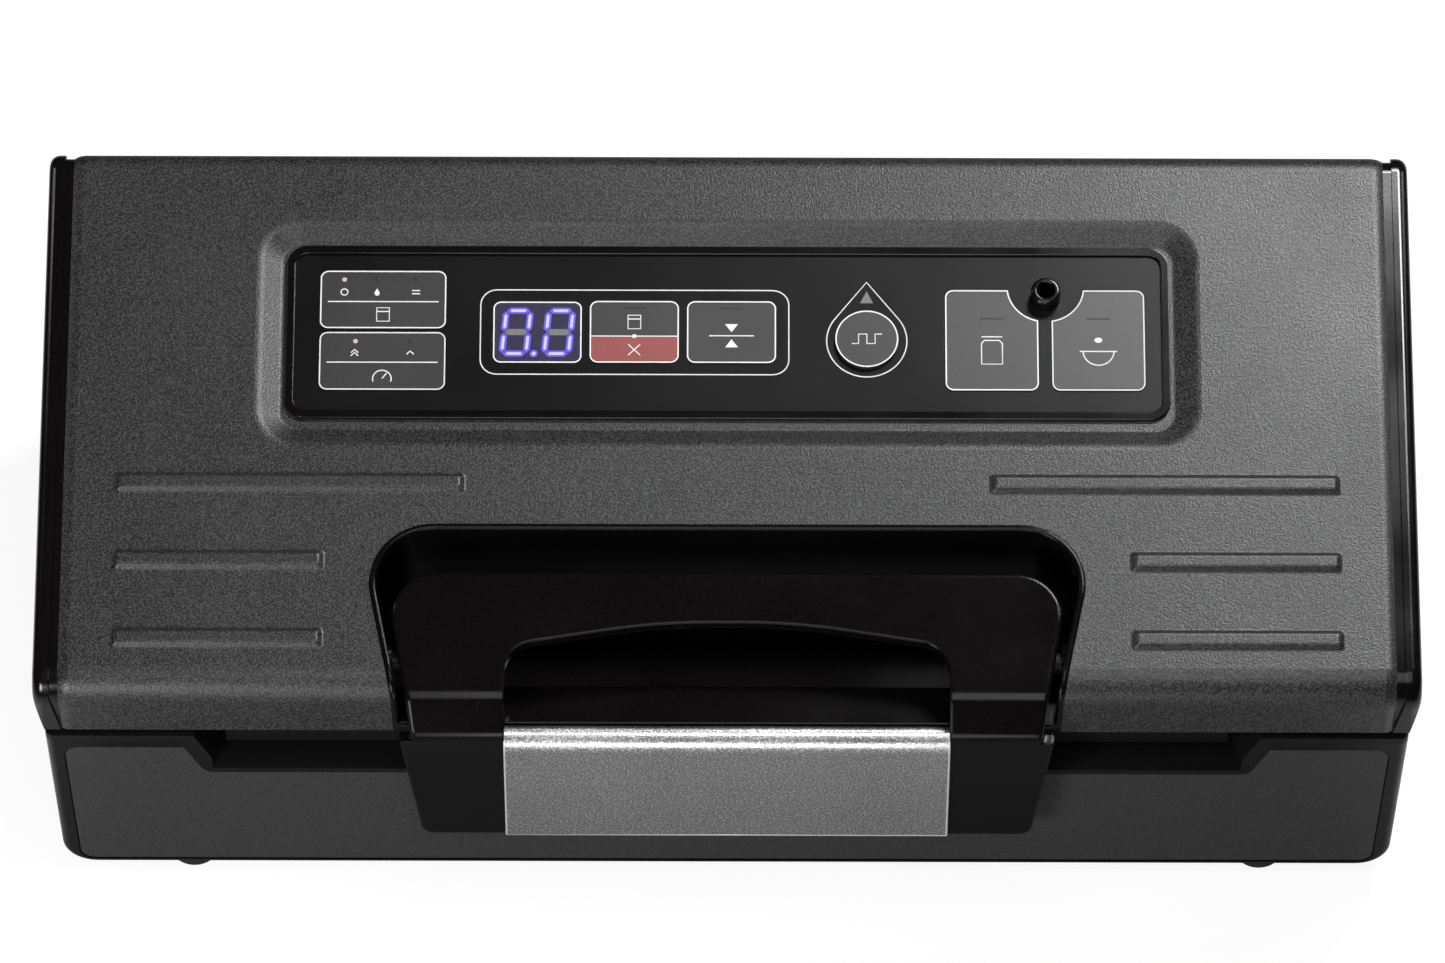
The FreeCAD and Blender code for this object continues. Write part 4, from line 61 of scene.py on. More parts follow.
# The key panel's own directions: across, up its slope and out of its face
OUT = -Vector(JOINTS["seal_press"]["axis"]).normalized()
UP = OUT.cross(Vector((1, 0, 0)))
PANEL = Matrix((Vector((1, 0, 0)), UP, OUT)).transposed().to_4x4()
# Points closer than this, in metres, count as one
SAME = 1e-6


class SealerColours(bpy.types.PropertyGroup):
    """Colours of the sealer's finishes."""

    coat: FloatVectorProperty(
        name="Coat",
        description="Powder coat of the lid",
        subtype="COLOR",
        default=(0.007, 0.007, 0.0072),
    )
    coat_fleck: FloatVectorProperty(
        name="Coat fleck",
        description="Light grains in the coat",
        subtype="COLOR",
        default=(0.048, 0.048, 0.049),
    )
    panel: FloatVectorProperty(
        name="Front panel",
        description="Smooth coat of the front panel",
        subtype="COLOR",
        default=(0.04, 0.04, 0.041),
    )
    plastic: FloatVectorProperty(
        name="Plastic",
        description="Glossy plastics",
        subtype="COLOR",
        default=(0.0035, 0.0028, 0.0029),
    )
    grip: FloatVectorProperty(
        name="Grip",
        description="Satin metal of the grip",
        subtype="COLOR",
        default=(0.42, 0.42, 0.425),
    )
    key: FloatVectorProperty(
        name="Keys",
        description="Printed key faces",
        subtype="COLOR",
        default=(0.034, 0.034, 0.035),
    )
    ink: FloatVectorProperty(
        name="Print",
        description="Printed lines and signs",
        subtype="COLOR",
        default=(0.82, 0.82, 0.82),
    )
    stop: FloatVectorProperty(
        name="Stop",
        description="Red half of the vacuum key",
        subtype="COLOR",
        default=(0.27, 0.06, 0.055),
    )
    digit: FloatVectorProperty(
        name="Digits",
        description="Light of the display",
        subtype="COLOR",
        default=(0.13, 0.09, 0.85),
    )
    digit_core: FloatVectorProperty(
        name="Digit cores",
        description="Middle of the lit bars",
        subtype="COLOR",
        default=(0.62, 0.58, 1.0),
    )
    lamp: FloatVectorProperty(
        name="Lamps",
        description="Light of the small lamps",
        subtype="COLOR",
        default=(0.75, 0.55, 0.56),
    )


class SealerPrint(bpy.types.PropertyGroup):
    """Sizes of what is printed on the key panel."""

    line: FloatProperty(
        name="Line",
        description="Width of printed lines",
        default=0.42 * MM,
        unit="LENGTH",
    )
    thickness: FloatProperty(
        name="Ink",
        description="Thickness of the ink",
        default=0.05 * MM,
        unit="LENGTH",
    )
    sign: FloatProperty(
        name="Sign",
        description="Height of a key's main sign",
        default=4.6 * MM,
        unit="LENGTH",
    )
    small_sign: FloatProperty(
        name="Small sign",
        description="Height of the signs under the lamps",
        default=2.5 * MM,
        unit="LENGTH",
    )
    large_sign: FloatProperty(
        name="Large sign",
        description="Height of the signs on the tall keys",
        default=7.6 * MM,
        unit="LENGTH",
    )
    lamp: FloatProperty(
        name="Lamp",
        description="Radius of an indicator lamp",
        default=0.75 * MM,
        unit="LENGTH",
    )
    digit_height: FloatProperty(
        name="Digit",
        description="Height of a digit",
        default=14.6 * MM,
        unit="LENGTH",
    )
    digit_width: FloatProperty(
        name="Digit width",
        description="Width of a digit",
        default=7.4 * MM,
        unit="LENGTH",
    )
    digit_bar: FloatProperty(
        name="Digit bar",
        description="Width of a digit's bars",
        default=2.1 * MM,
        unit="LENGTH",
    )


class SealerGrip(bpy.types.PropertyGroup):
    """Sizes of the grip's rounding and of the pale tube that paints a highlight along its edge."""

    roll: FloatProperty(
        name="Roll",
        description="Upper rounding of the grip",
        default=6 * MM,
        unit="LENGTH",
    )
    heel: FloatProperty(
        name="Heel",
        description="Lower rounding of the grip",
        default=3.2 * MM,
        unit="LENGTH",
    )
    # Radius of the pale tube whose light colour is a painted highlight on the grip's edge
    edge: FloatProperty(
        name="Edge",
        description="Radius of the polished edge",
        default=0.35 * MM,
        unit="LENGTH",
    )


class SealerStudio(bpy.types.PropertyGroup):
    """Camera, lamps and floor."""

    lens: FloatProperty(
        name="Lens",
        description="Focal length in millimetres",
        default=253.0,
        unit="CAMERA",
    )
    pitch: FloatProperty(
        name="Pitch",
        description="How far the camera looks down",
        subtype="ANGLE",
        default=math.radians(55.5),
    )
    roll: FloatProperty(
        name="Roll",
        description="Camera's roll",
        subtype="ANGLE",
        default=math.radians(0.15),
    )
    distance: FloatProperty(
        name="Distance",
        description="Camera to lid edge",
        default=3.0646,
        unit="LENGTH",
    )
    right_power: FloatProperty(
        name="Right lamp",
        description="Power in watts",
        default=11.0,
        unit="POWER",
    )
    left_power: FloatProperty(
        name="Left lamp",
        description="Power in watts",
        default=3.2,
        unit="POWER",
    )
    top_power: FloatProperty(
        name="Top lamp",
        description="Power in watts",
        default=3.8,
        unit="POWER",
    )
    front_power: FloatProperty(
        name="Front lamp",
        description="Power in watts",
        default=0.9,
        unit="POWER",
    )
    edge_power: FloatProperty(
        name="Edge lamps",
        description="Power in watts",
        default=0.6,
        unit="POWER",
    )
    ambient: FloatProperty(
        name="Ambient",
        description="Strength of the light from all around",
        default=0.02,
    )
    floor: FloatProperty(
        name="Floor",
        description="Width of the floor",
        default=40.0,
        unit="LENGTH",
    )


# Shader node groups


def shader_group(name, inputs, outputs):
    """An empty node group with named sockets, its input node and its output node."""
    group = bpy.data.node_groups.new(name, "ShaderNodeTree")
    for label, kind, default in inputs:
        socket = group.interface.new_socket(name=label, in_out="INPUT", socket_type=kind)
        if default is not None:
            socket.default_value = default
    for label, kind in outputs:
        group.interface.new_socket(name=label, in_out="OUTPUT", socket_type=kind)
    return group, group.nodes.new("NodeGroupInput"), group.nodes.new("NodeGroupOutput")


def grain_group():
    """Fine grain: a mask of light flecks and a height for bump."""
    group, given, result = shader_group(
        "fine_grain",
        [
            ("Vector", "NodeSocketVector", None),
            ("Scale", "NodeSocketFloat", 1500.0),
            ("Threshold", "NodeSocketFloat", 0.55),
            ("Softness", "NodeSocketFloat", 0.15),
        ],
        [("Fleck", "NodeSocketFloat"), ("Height", "NodeSocketFloat")],
    )
    nodes, links = group.nodes, group.links
    noise = nodes.new("ShaderNodeTexNoise")
    noise.inputs["Detail"].default_value = 1.0
    noise.inputs["Roughness"].default_value = 0.6
    links.new(given.outputs["Vector"], noise.inputs["Vector"])
    links.new(given.outputs["Scale"], noise.inputs["Scale"])
    upper = nodes.new("ShaderNodeMath")
    upper.operation = "ADD"
    links.new(given.outputs["Threshold"], upper.inputs[0])
    links.new(given.outputs["Softness"], upper.inputs[1])
    mask = nodes.new("ShaderNodeMapRange")
    mask.interpolation_type = "SMOOTHSTEP"
    links.new(noise.outputs["Fac"], mask.inputs["Value"])
    links.new(given.outputs["Threshold"], mask.inputs["From Min"])
    links.new(upper.outputs[0], mask.inputs["From Max"])
    links.new(mask.outputs["Result"], result.inputs["Fleck"])
    links.new(noise.outputs["Fac"], result.inputs["Height"])
    return group


def handling_group():
    """Soft cloudy change of gloss, as on a surface that hands have touched."""
    group, given, result = shader_group(
        "handling",
        [
            ("Vector", "NodeSocketVector", None),
            ("Scale", "NodeSocketFloat", 30.0),
            ("Low", "NodeSocketFloat", 0.3),
            ("High", "NodeSocketFloat", 0.4),
        ],
        [("Roughness", "NodeSocketFloat")],
    )
    nodes, links = group.nodes, group.links
    noise = nodes.new("ShaderNodeTexNoise")
    noise.inputs["Detail"].default_value = 3.0
    spread = nodes.new("ShaderNodeMapRange")
    spread.inputs["From Min"].default_value = 0.3
    spread.inputs["From Max"].default_value = 0.7
    links.new(given.outputs["Vector"], noise.inputs["Vector"])
    links.new(given.outputs["Scale"], noise.inputs["Scale"])
    links.new(noise.outputs["Fac"], spread.inputs["Value"])
    links.new(given.outputs["Low"], spread.inputs["To Min"])
    links.new(given.outputs["High"], spread.inputs["To Max"])
    links.new(spread.outputs["Result"], result.inputs["Roughness"])
    return group


def soft_edge_group():
    """Edges whose light turns softly, as on a moulded corner."""
    group, given, result = shader_group(
        "soft_edge", [("Radius", "NodeSocketFloat", 0.001)], [("Normal", "NodeSocketVector")]
    )
    rounding = group.nodes.new("ShaderNodeBevel")
    rounding.samples = 8
    group.links.new(given.outputs["Radius"], rounding.inputs["Radius"])
    group.links.new(rounding.outputs["Normal"], result.inputs["Normal"])
    return group


GROUPS = {}


def use_group(nodes, name, **values):
    """Place a shared node group in a material with its own values."""
    makers = {"fine_grain": grain_group, "handling": handling_group, "soft_edge": soft_edge_group}
    if name not in GROUPS:
        GROUPS[name] = makers[name]()
    node = nodes.new("ShaderNodeGroup")
    node.node_tree = GROUPS[name]
    for label, size in values.items():
        node.inputs[label].default_value = size
    return node


# Finishes


def new_material(name):
    """A material with a Principled shader, its nodes and its object coordinates."""
    material = bpy.data.materials.new(name)
    material.use_nodes = True
    nodes = material.node_tree.nodes
    return material, nodes["Principled BSDF"], nodes.new("ShaderNodeTexCoord").outputs["Object"]


def grained(name, base, fleck, gloss, grain, sockets=None, stretch=(1, 1, 1), soft_edge=0.0):
    """A finish with flecks, fine relief and a gloss that varies.

    gloss is the lowest and highest roughness. grain is the flecks' number per metre, the threshold
    and softness of their mask and the relief's depth in metres. sockets are plain values of the shader.
    soft_edge is how far from an edge its light starts to turn, as on a moulded corner.
    """
    material, shader, place = new_material(name)
    nodes, links = material.node_tree.nodes, material.node_tree.links
    mapping = nodes.new("ShaderNodeMapping")
    mapping.inputs["Scale"].default_value = stretch
    links.new(place, mapping.inputs["Vector"])
    scale, threshold, softness, relief = grain
    speckle = use_group(nodes, "fine_grain", Scale=scale, Threshold=threshold, Softness=softness)
    links.new(mapping.outputs["Vector"], speckle.inputs["Vector"])
    colour = nodes.new("ShaderNodeMix")
    colour.data_type = "RGBA"
    colour.inputs["A"].default_value = (*base, 1)
    colour.inputs["B"].default_value = (*fleck, 1)
    links.new(speckle.outputs["Fleck"], colour.inputs["Factor"])
    links.new(colour.outputs["Result"], shader.inputs["Base Color"])
    touched = use_group(nodes, "handling", Low=gloss[0], High=gloss[1])
    links.new(place, touched.inputs["Vector"])
    links.new(touched.outputs["Roughness"], shader.inputs["Roughness"])
    bump = nodes.new("ShaderNodeBump")
    bump.inputs["Distance"].default_value = relief
    links.new(speckle.outputs["Height"], bump.inputs["Height"])
    if soft_edge:
        rounding = use_group(nodes, "soft_edge", Radius=soft_edge)
        links.new(rounding.outputs["Normal"], bump.inputs["Normal"])
    links.new(bump.outputs["Normal"], shader.inputs["Normal"])
    for socket, size in (sockets or {}).items():
        shader.inputs[socket].default_value = size
    return material


# What a lit surface would look like without its light
UNLIT_GLASS = (0.01, 0.01, 0.012)


def glowing(name, colour, strength):
    """A lit surface."""
    material, shader, _ = new_material(name)
    shader.inputs["Base Color"].default_value = (*UNLIT_GLASS, 1)
    shader.inputs["Emission Color"].default_value = (*colour, 1)
    shader.inputs["Emission Strength"].default_value = strength
    return material


def shade(colour, factor):
    """A colour made lighter or darker."""
    return tuple(min(1.0, factor * part) for part in colour)


def grey(level):
    """A neutral colour."""
    return (level, level, level)


def shine(level):
    """How strongly a surface mirrors, as a plain value of the shader."""
    return {"Specular IOR Level": level}


METAL = {"Metallic": 1.0}
DULL = shine(0.12)


def shell_finishes(tint):
    """Coats, plastics and the grip: what the closed sealer shows."""
    return {
        "coated_steel": grained(
            "powder_coat", tint.coat, tint.coat_fleck,
            gloss=(0.36, 0.42), grain=(1700, 0.40, 0.25, 0.1 * MM), sockets=shine(0.5),
        ),
        "panel_coat": grained(
            "panel_coat", tint.panel, shade(tint.panel, 1.5),
            gloss=(0.5, 0.6), grain=(1700, 0.5, 0.2, 0.03 * MM), sockets=shine(0.2),
        ),
        "gloss_black": grained(
            "gloss_black", tint.plastic, shade(tint.plastic, 1.6),
            gloss=(0.12, 0.2), grain=(900, 0.5, 0.3, 0.003 * MM), sockets=shine(0.4),
        ),
        "handle_black": grained(
            "handle_black", tint.plastic, shade(tint.plastic, 1.6),
            gloss=(0.12, 0.2), grain=(900, 0.5, 0.3, 0.003 * MM), sockets=shine(0.15), soft_edge=1.4 * MM,
        ),
        "trim_black": grained(
            "trim_black", tint.plastic, shade(tint.plastic, 1.6),
            gloss=(0.12, 0.2), grain=(900, 0.5, 0.3, 0.003 * MM), sockets=shine(0.4), soft_edge=0.6 * MM,
        ),
        "shell_black": grained(
            "shell_black", grey(0.003), grey(0.0045),
            gloss=(0.2, 0.28), grain=(1400, 0.55, 0.2, 0.01 * MM), sockets=shine(0.18),
        ),
        "case_black": grained(
            "case_black", grey(0.008), grey(0.012),
            gloss=(0.38, 0.5), grain=(1400, 0.55, 0.2, 0.03 * MM), sockets=DULL,
        ),
        "grip_metal": grained(
            "grip_metal", tint.grip, shade(tint.grip, 2.2),
            gloss=(0.30, 0.38), grain=(1700, 0.44, 0.22, 0.06 * MM), sockets=METAL,
        ),
        # Pale metal of the tube along the grip's edge, far lighter than the grip: a painted highlight
        "edge_metal": grained(
            "edge_metal", grey(0.75), grey(0.85),
            gloss=(0.30, 0.36), grain=(900, 0.5, 0.3, 0.01 * MM), sockets={"Metallic": 0.35},
        ),
        "fascia_black": grained(
            "fascia_black", grey(0.003), grey(0.0045),
            gloss=(0.30, 0.36), grain=(1600, 0.55, 0.2, 0.01 * MM), sockets=shine(0.2),
        ),
        "key_grey": grained(
            "key_grey", tint.key, shade(tint.key, 1.2),
            gloss=(0.32, 0.40), grain=(1200, 0.5, 0.3, 0.01 * MM),
        ),
        "display_glass": grained(
            "display_glass", (0.045, 0.04, 0.075), (0.055, 0.048, 0.09),
            gloss=(0.12, 0.2), grain=(500, 0.5, 0.3, 0.002 * MM),
        ),
    }


def inner_finishes():
    """What shows with the lid open, from behind and from below."""
    return {
        "display_dark": grained(
            "display_dark", grey(0.012), grey(0.016),
            gloss=(0.4, 0.5), grain=(800, 0.5, 0.3, 0.01 * MM),
        ),
        "rubber_black": grained(
            "rubber_black", grey(0.016), grey(0.028),
            gloss=(0.6, 0.75), grain=(1800, 0.5, 0.3, 0.04 * MM),
        ),
        "silicone_grey": grained(
            "silicone_grey", grey(0.22), grey(0.28),
            gloss=(0.55, 0.7), grain=(2200, 0.5, 0.3, 0.04 * MM),
        ),
        "steel": grained(
            "zinc_steel", (0.52, 0.52, 0.54), (0.66, 0.66, 0.68),
            gloss=(0.28, 0.4), grain=(700, 0.45, 0.3, 0.01 * MM), sockets=METAL,
        ),
        # Near-black steel for the latch parts and springs in the handle's gap: painted shade of the gap
        "black_steel": grained(
            "black_steel", grey(0.02), grey(0.03),
            gloss=(0.35, 0.45), grain=(900, 0.45, 0.3, 0.01 * MM), sockets=DULL,
        ),
        "circuit_green": grained(
            "circuit_green", (0.012, 0.09, 0.035), (0.03, 0.16, 0.06),
            gloss=(0.3, 0.4), grain=(420, 0.5, 0.05, 0.03 * MM),
        ),
        "tape_brown": grained(
            "tape_brown", (0.30, 0.19, 0.09), (0.38, 0.26, 0.14),
            gloss=(0.5, 0.62), grain=(1500, 0.5, 0.2, 0.04 * MM), stretch=(1, 0.25, 1),
        ),
        "hose_clear": grained(
            "hose_clear", grey(0.55), grey(0.62),
            gloss=(0.4, 0.5), grain=(500, 0.5, 0.3, 0.01 * MM),
        ),
        "motor_zinc": grained(
            "motor_zinc", (0.42, 0.42, 0.43), (0.5, 0.5, 0.51),
            gloss=(0.35, 0.5), grain=(300, 0.5, 0.3, 0.02 * MM), sockets=METAL,
        ),
        "core_iron": grained(
            "core_iron", (0.06, 0.055, 0.05), (0.12, 0.11, 0.10),
            gloss=(0.4, 0.6), grain=(900, 0.5, 0.1, 0.1 * MM),
            sockets={"Metallic": 0.6}, stretch=(0.02, 1, 1),
        ),
        "contact_brass": grained(
            "contact_brass", (0.62, 0.45, 0.18), (0.72, 0.54, 0.26),
            gloss=(0.25, 0.35), grain=(900, 0.5, 0.3, 0.01 * MM), sockets=METAL,
        ),
        "fan_white": grained(
            "fan_white", grey(0.6), grey(0.66),
            gloss=(0.4, 0.55), grain=(900, 0.5, 0.3, 0.02 * MM),
        ),
    }


def print_finishes(tint):
    """Inks and lights of the key panel."""
    fine = (1200, 0.5, 0.3, 0.01 * MM)
    return {
        "ink": grained(
            "white_ink", tint.ink, shade(tint.ink, 0.9),
            gloss=(0.5, 0.6), grain=fine,
        ),
        "stop_ink": grained(
            "red_ink", tint.stop, shade(tint.stop, 1.2),
            gloss=(0.36, 0.46), grain=fine,
        ),
        "dull_ink": grained(
            "dull_ink", grey(0.014), grey(0.018),
            gloss=(0.5, 0.6), grain=fine,
        ),
        "grey_ink": grained(
            "grey_ink", grey(0.16), grey(0.19),
            gloss=(0.5, 0.6), grain=fine,
        ),
        "digit_glow": glowing("digit_glow", tint.digit, 1.0),
        "digit_core": glowing("digit_core", tint.digit_core, 1.1),
        "lamp_lit": glowing("lamp_lit", tint.lamp, 0.9),
    }


# Solids whose finish differs from the rest of their slot
OWN_FINISH = {
    "front_panel": "panel_coat",
    "base_shell": "shell_black",
    "handle_frame": "handle_black",
    "handle_well": "handle_black",
    "hose_port": "trim_black",
    "control_bezel": "trim_black",
    # Latch parts and springs in the handle's gap carry the gap's painted shade
    "latch_shaft_left": "black_steel",
    "latch_shaft_right": "black_steel",
    "latch_hook_left": "black_steel",
    "latch_hook_right": "black_steel",
    "handle_springs": "black_steel",
}
FINISHES = {}


class SEALER_OT_finishes(bpy.types.Operator):
    """Give every solid its finish"""

    bl_idname = "sealer.finishes"
    bl_label = "Finishes"

    def execute(self, context):
        tint = context.scene.sealer_colours
        FINISHES.update(shell_finishes(tint))
        FINISHES.update(inner_finishes())
        FINISHES.update(print_finishes(tint))
        for node, obj in NODES.items():
            finish = OWN_FINISH.get(node, SLOT_OF[node])
            for slot in obj.material_slots:
                slot.material = FINISHES[finish]
        return {"FINISHED"}


# Modelling helpers


def add_piece(name, bm, finish, body):
    """A finished mesh, in the object's frame, that moves with a body."""
    mesh = bpy.data.meshes.new(name)
    bm.to_mesh(mesh)
    bm.free()
    mesh.materials.append(FINISHES[finish])
    obj = bpy.data.objects.new(name, mesh)
    bpy.context.scene.collection.objects.link(obj)
    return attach(obj, body)


def reach(node):
    """Lowest and highest corner of a node in the key panel's directions."""
    inverse = PANEL.inverted()
    spots = [inverse @ vertex.co for vertex in NODES[node].data.vertices]
    low = Vector(min(spot[axis] for spot in spots) for axis in range(3))
    high = Vector(max(spot[axis] for spot in spots) for axis in range(3))
    return low, high


def upper_face(node):
    """A node's upper face as one polygon, in the key panel's directions."""
    bm = bmesh.new()
    bm.from_mesh(NODES[node].data)
    bmesh.ops.transform(bm, matrix=PANEL.inverted(), verts=bm.verts)
    bmesh.ops.remove_doubles(bm, verts=bm.verts, dist=SAME)
    top = max(vertex.co.z for vertex in bm.verts)
    lower = [vertex for vertex in bm.verts if vertex.co.z < top - SAME]
    bmesh.ops.delete(bm, geom=lower, context="VERTS")
    bmesh.ops.dissolve_faces(bm, faces=bm.faces)
    return bm


def key_cap(node):
    """Corners of a key's visible face, without the lip below it."""
    bm = upper_face(node)
    xs = [vertex.co.x for vertex in bm.verts]
    ys = [vertex.co.y for vertex in bm.verts]
    level = bm.verts[:][0].co.z
    bm.free()
    return Vector((min(xs), min(ys), level)), Vector((max(xs), max(ys), level))


def thicken(bm, height):
    """Make flat faces into closed plates that stand up from where they lie."""
    grown = bmesh.ops.extrude_face_region(bm, geom=bm.faces[:], use_keep_orig=True)
    raised = [part for part in grown["geom"] if isinstance(part, bmesh.types.BMVert)]
    bmesh.ops.translate(bm, vec=(0, 0, height), verts=raised)
    bmesh.ops.recalc_face_normals(bm, faces=bm.faces)


def inset(bm, width):
    """Draw a second border inside a flat face, and give the face within it."""
    inner = bm.faces[:]
    bmesh.ops.inset_region(bm, faces=inner, thickness=width, use_even_offset=True, use_boundary=True)
    return inner


def lay_on_panel(bm):
    """Turn a flat piece from the key panel's directions into the object's frame."""
    bmesh.ops.transform(bm, matrix=PANEL, verts=bm.verts)


def join_mesh(bm, mesh, matrix):
    """Add a mesh to a bmesh at a place."""
    mesh.transform(matrix)
    bm.from_mesh(mesh)
    bpy.data.meshes.remove(mesh)


def add_tube(bm, points, radius, closed=False, place=Matrix()):
    """A round bar along points, closed at its ends."""
    curve = bpy.data.curves.new("tube", "CURVE")
    curve.dimensions = "3D"
    curve.bevel_depth = radius
    curve.bevel_resolution = 1
    curve.use_fill_caps = True
    spline = curve.splines.new("POLY")
    spline.points.add(len(points) - 1)
    for point, spot in zip(spline.points, points):
        point.co = (*spot, 1)
    spline.use_cyclic_u = closed
    holder = bpy.data.objects.new("tube", curve)
    mesh = bpy.data.meshes.new_from_object(holder)
    bpy.data.objects.remove(holder)
    bpy.data.curves.remove(curve)
    join_mesh(bm, mesh, place)


def add_stroke(bm, points, level, closed=False):
    """A printed line of the panel's line width along points."""
    sizes = bpy.context.scene.sealer_print
    flat = Matrix.Diagonal((1, 1, 2 * sizes.thickness / sizes.line, 1))
    spots = [(across, upward, 0) for across, upward in points]
    add_tube(bm, spots, sizes.line / 2, closed, Matrix.Translation((0, 0, level)) @ flat)


def add_plate(bm, points, level, thickness):
    """A flat filled shape given by its corners."""
    part = bmesh.new()
    part.faces.new([part.verts.new((across, upward, level)) for across, upward in points])
    thicken(part, thickness)
    mesh = bpy.data.meshes.new("plate")
    part.to_mesh(mesh)
    part.free()
    join_mesh(bm, mesh, Matrix())


def arc(centre, radius, start, end, steps):
    """Points along an arc, angles in degrees."""
    angles = [math.radians(start + (end - start) * step / steps) for step in range(steps + 1)]
    across, upward = centre
    return [(across + radius * math.cos(turn), upward + radius * math.sin(turn)) for turn in angles]


def circle(centre, radius, corners=24):
    """Points around a circle."""
    return arc(centre, radius, 0, 360 - 360 / corners, corners - 1)


def rounded(low, high, radius, steps=6):
    """Outline of a rectangle with round corners."""
    corners = [
        ((high[0] - radius, low[1] + radius), -90),
        ((high[0] - radius, high[1] - radius), 0),
        ((low[0] + radius, high[1] - radius), 90),
        ((low[0] + radius, low[1] + radius), 180),
    ]
    return [spot for centre, start in corners for spot in arc(centre, radius, start, start + 90, steps)]


# Handle


# How far the pale tube of painted highlight follows the grip's upper and lower rounding, in degrees
ROLL_TURN = 70
HEEL_TURN = 32


class SEALER_OT_grip_edge(bpy.types.Operator):
    """Pale tube along the grip's ends and its lower border: a painted highlight on the edge"""

    bl_idname = "sealer.grip_edge"
    bl_label = "Grip edge"

    def execute(self, context):
        sizes = context.scene.sealer_grip
        low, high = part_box("handle_grip")
        roll = arc((-(low.y + sizes.roll), high.z - sizes.roll), sizes.roll, ROLL_TURN, 0, steps=12)
        heel = arc((-(low.y + sizes.heel), low.z + sizes.heel), sizes.heel, 0, -HEEL_TURN, steps=6)
        profile = [(-forward, level) for forward, level in roll + heel]
        left = [(low.x, depth, level) for depth, level in profile]
        right = [(high.x, depth, level) for depth, level in reversed(profile)]
        bm = bmesh.new()
        add_tube(bm, left + right, sizes.edge)
        add_piece("grip_edge", bm, "edge_metal", "handle")
        return {"FINISHED"}


# Key panel


PRESSED_KEYS = [
    "mode_key",
    "pressure_key",
    "vacuum_key",
    "seal_key",
    "pulse_key",
    "canister_key",
    "marinate_key",
]


class SEALER_OT_key_outlines(bpy.types.Operator):
    """White line around every key's face and around the display"""

    bl_idname = "sealer.key_outlines"
    bl_label = "Key outlines"

    def execute(self, context):
        sizes = context.scene.sealer_print
        for node in [*PRESSED_KEYS, "display_window"]:
            bm = upper_face(node)
            bmesh.ops.delete(bm, geom=inset(bm, sizes.line), context="FACES")
            thicken(bm, sizes.thickness)
            lay_on_panel(bm)
            body = node if node in PRESSED_KEYS else "lid"
            add_piece(f"{node}_outline", bm, "ink", body)
        return {"FINISHED"}


# Signs around their middle, about one unit high: lines, closed lines and filled shapes
SIGNS = {
    "ring": {"closed": [circle((0, 0), 0.42)]},
    "drop": {"filled": [[(0, 0.5)] + arc((0, -0.18), 0.32, 25, -205, 12)]},
    "bars": {"lines": [[(-0.5, 0.22), (0.5, 0.22)], [(-0.5, -0.22), (0.5, -0.22)]]},
    "bag": {
        "closed": [[(-0.42, -0.5), (0.42, -0.5), (0.42, 0.5), (-0.42, 0.5)]],
        "lines": [[(-0.42, 0.22), (0.42, 0.22)]],
    },
    "one_up": {"lines": [[(-0.45, -0.2), (0, 0.25), (0.45, -0.2)]]},
    "two_up": {
        "lines": [
            [(-0.45, -0.42), (0, 0.03), (0.45, -0.42)],
            [(-0.45, 0.0), (0, 0.45), (0.45, 0.0)],
        ],
    },
    "gauge": {"lines": [arc((0, -0.25), 0.62, 200, -20, 14), [(0, -0.25), (0.3, 0.16)]]},
    "cross": {"lines": [[(-0.4, -0.4), (0.4, 0.4)], [(-0.4, 0.4), (0.4, -0.4)]]},
    "squeeze": {
        "lines": [[(-0.9, 0), (0.9, 0)]],
        "filled": [
            [(0, 0.16), (0.26, 0.52), (-0.26, 0.52)],
            [(0, -0.16), (-0.26, -0.52), (0.26, -0.52)],
        ],
    },
    "wave": {
        "lines": [
            [
                (-1.0, -0.35),
                (-0.55, -0.35),
                (-0.55, 0.35),
                (0, 0.35),
                (0, -0.35),
                (0.55, -0.35),
                (0.55, 0.35),
                (1.0, 0.35),
            ],
        ],
    },
    "jar": {
        "closed": [
            [(-0.42, -0.62), (0.42, -0.62), (0.42, 0.3), (0.3, 0.44), (-0.3, 0.44), (-0.42, 0.3)],
        ],
        "lines": [[(-0.42, 0.6), (0.42, 0.6)]],
    },
    "bowl": {
        "lines": [[(-0.75, 0.05), (0.75, 0.05)], arc((0, 0.05), 0.62, 180, 360, 14)],
        "filled": [[(x, y * 0.7 + 0.55) for x, y in arc((0, 0), 0.16, 0, 345, 15)]],
    },
}

# Which sign stands where on each key, as shares of the face, and which of the sign sizes it has
KEY_SIGNS = {
    "mode_key": [
        ("ring", 0.19, 0.63, "small_sign"),
        ("drop", 0.45, 0.63, "small_sign"),
        ("bars", 0.76, 0.63, "small_sign"),
        ("bag", 0.5, 0.24, "sign"),
    ],
    "pressure_key": [
        ("two_up", 0.28, 0.64, "small_sign"),
        ("one_up", 0.72, 0.64, "small_sign"),
        ("gauge", 0.5, 0.25, "sign"),
    ],
    "vacuum_key": [("bag", 0.5, 0.66, "sign"), ("cross", 0.5, 0.21, "sign")],
    "seal_key": [("squeeze", 0.5, 0.44, "large_sign")],
    "pulse_key": [("wave", 0.5, 0.5, "sign")],
    "canister_key": [("jar", 0.5, 0.40, "large_sign")],
    "marinate_key": [("bowl", 0.5, 0.38, "large_sign")],
}
# Dividing lines: how far they stay from the key's sides and how high they stand, as shares of the face
KEY_LINES = {
    "mode_key": (0.06, 0.464),
    "pressure_key": (0.06, 0.477),
    "vacuum_key": (0.0, 0.43),
}
# Radius of the dot on the vacuum key's line, in line widths
DOT_WIDTHS = 1.6


def place_on(cap, across, upward):
    """A place on a key's face given as shares of its width and height."""
    low, high = cap
    return (low.x + across * (high.x - low.x), low.y + upward * (high.y - low.y))


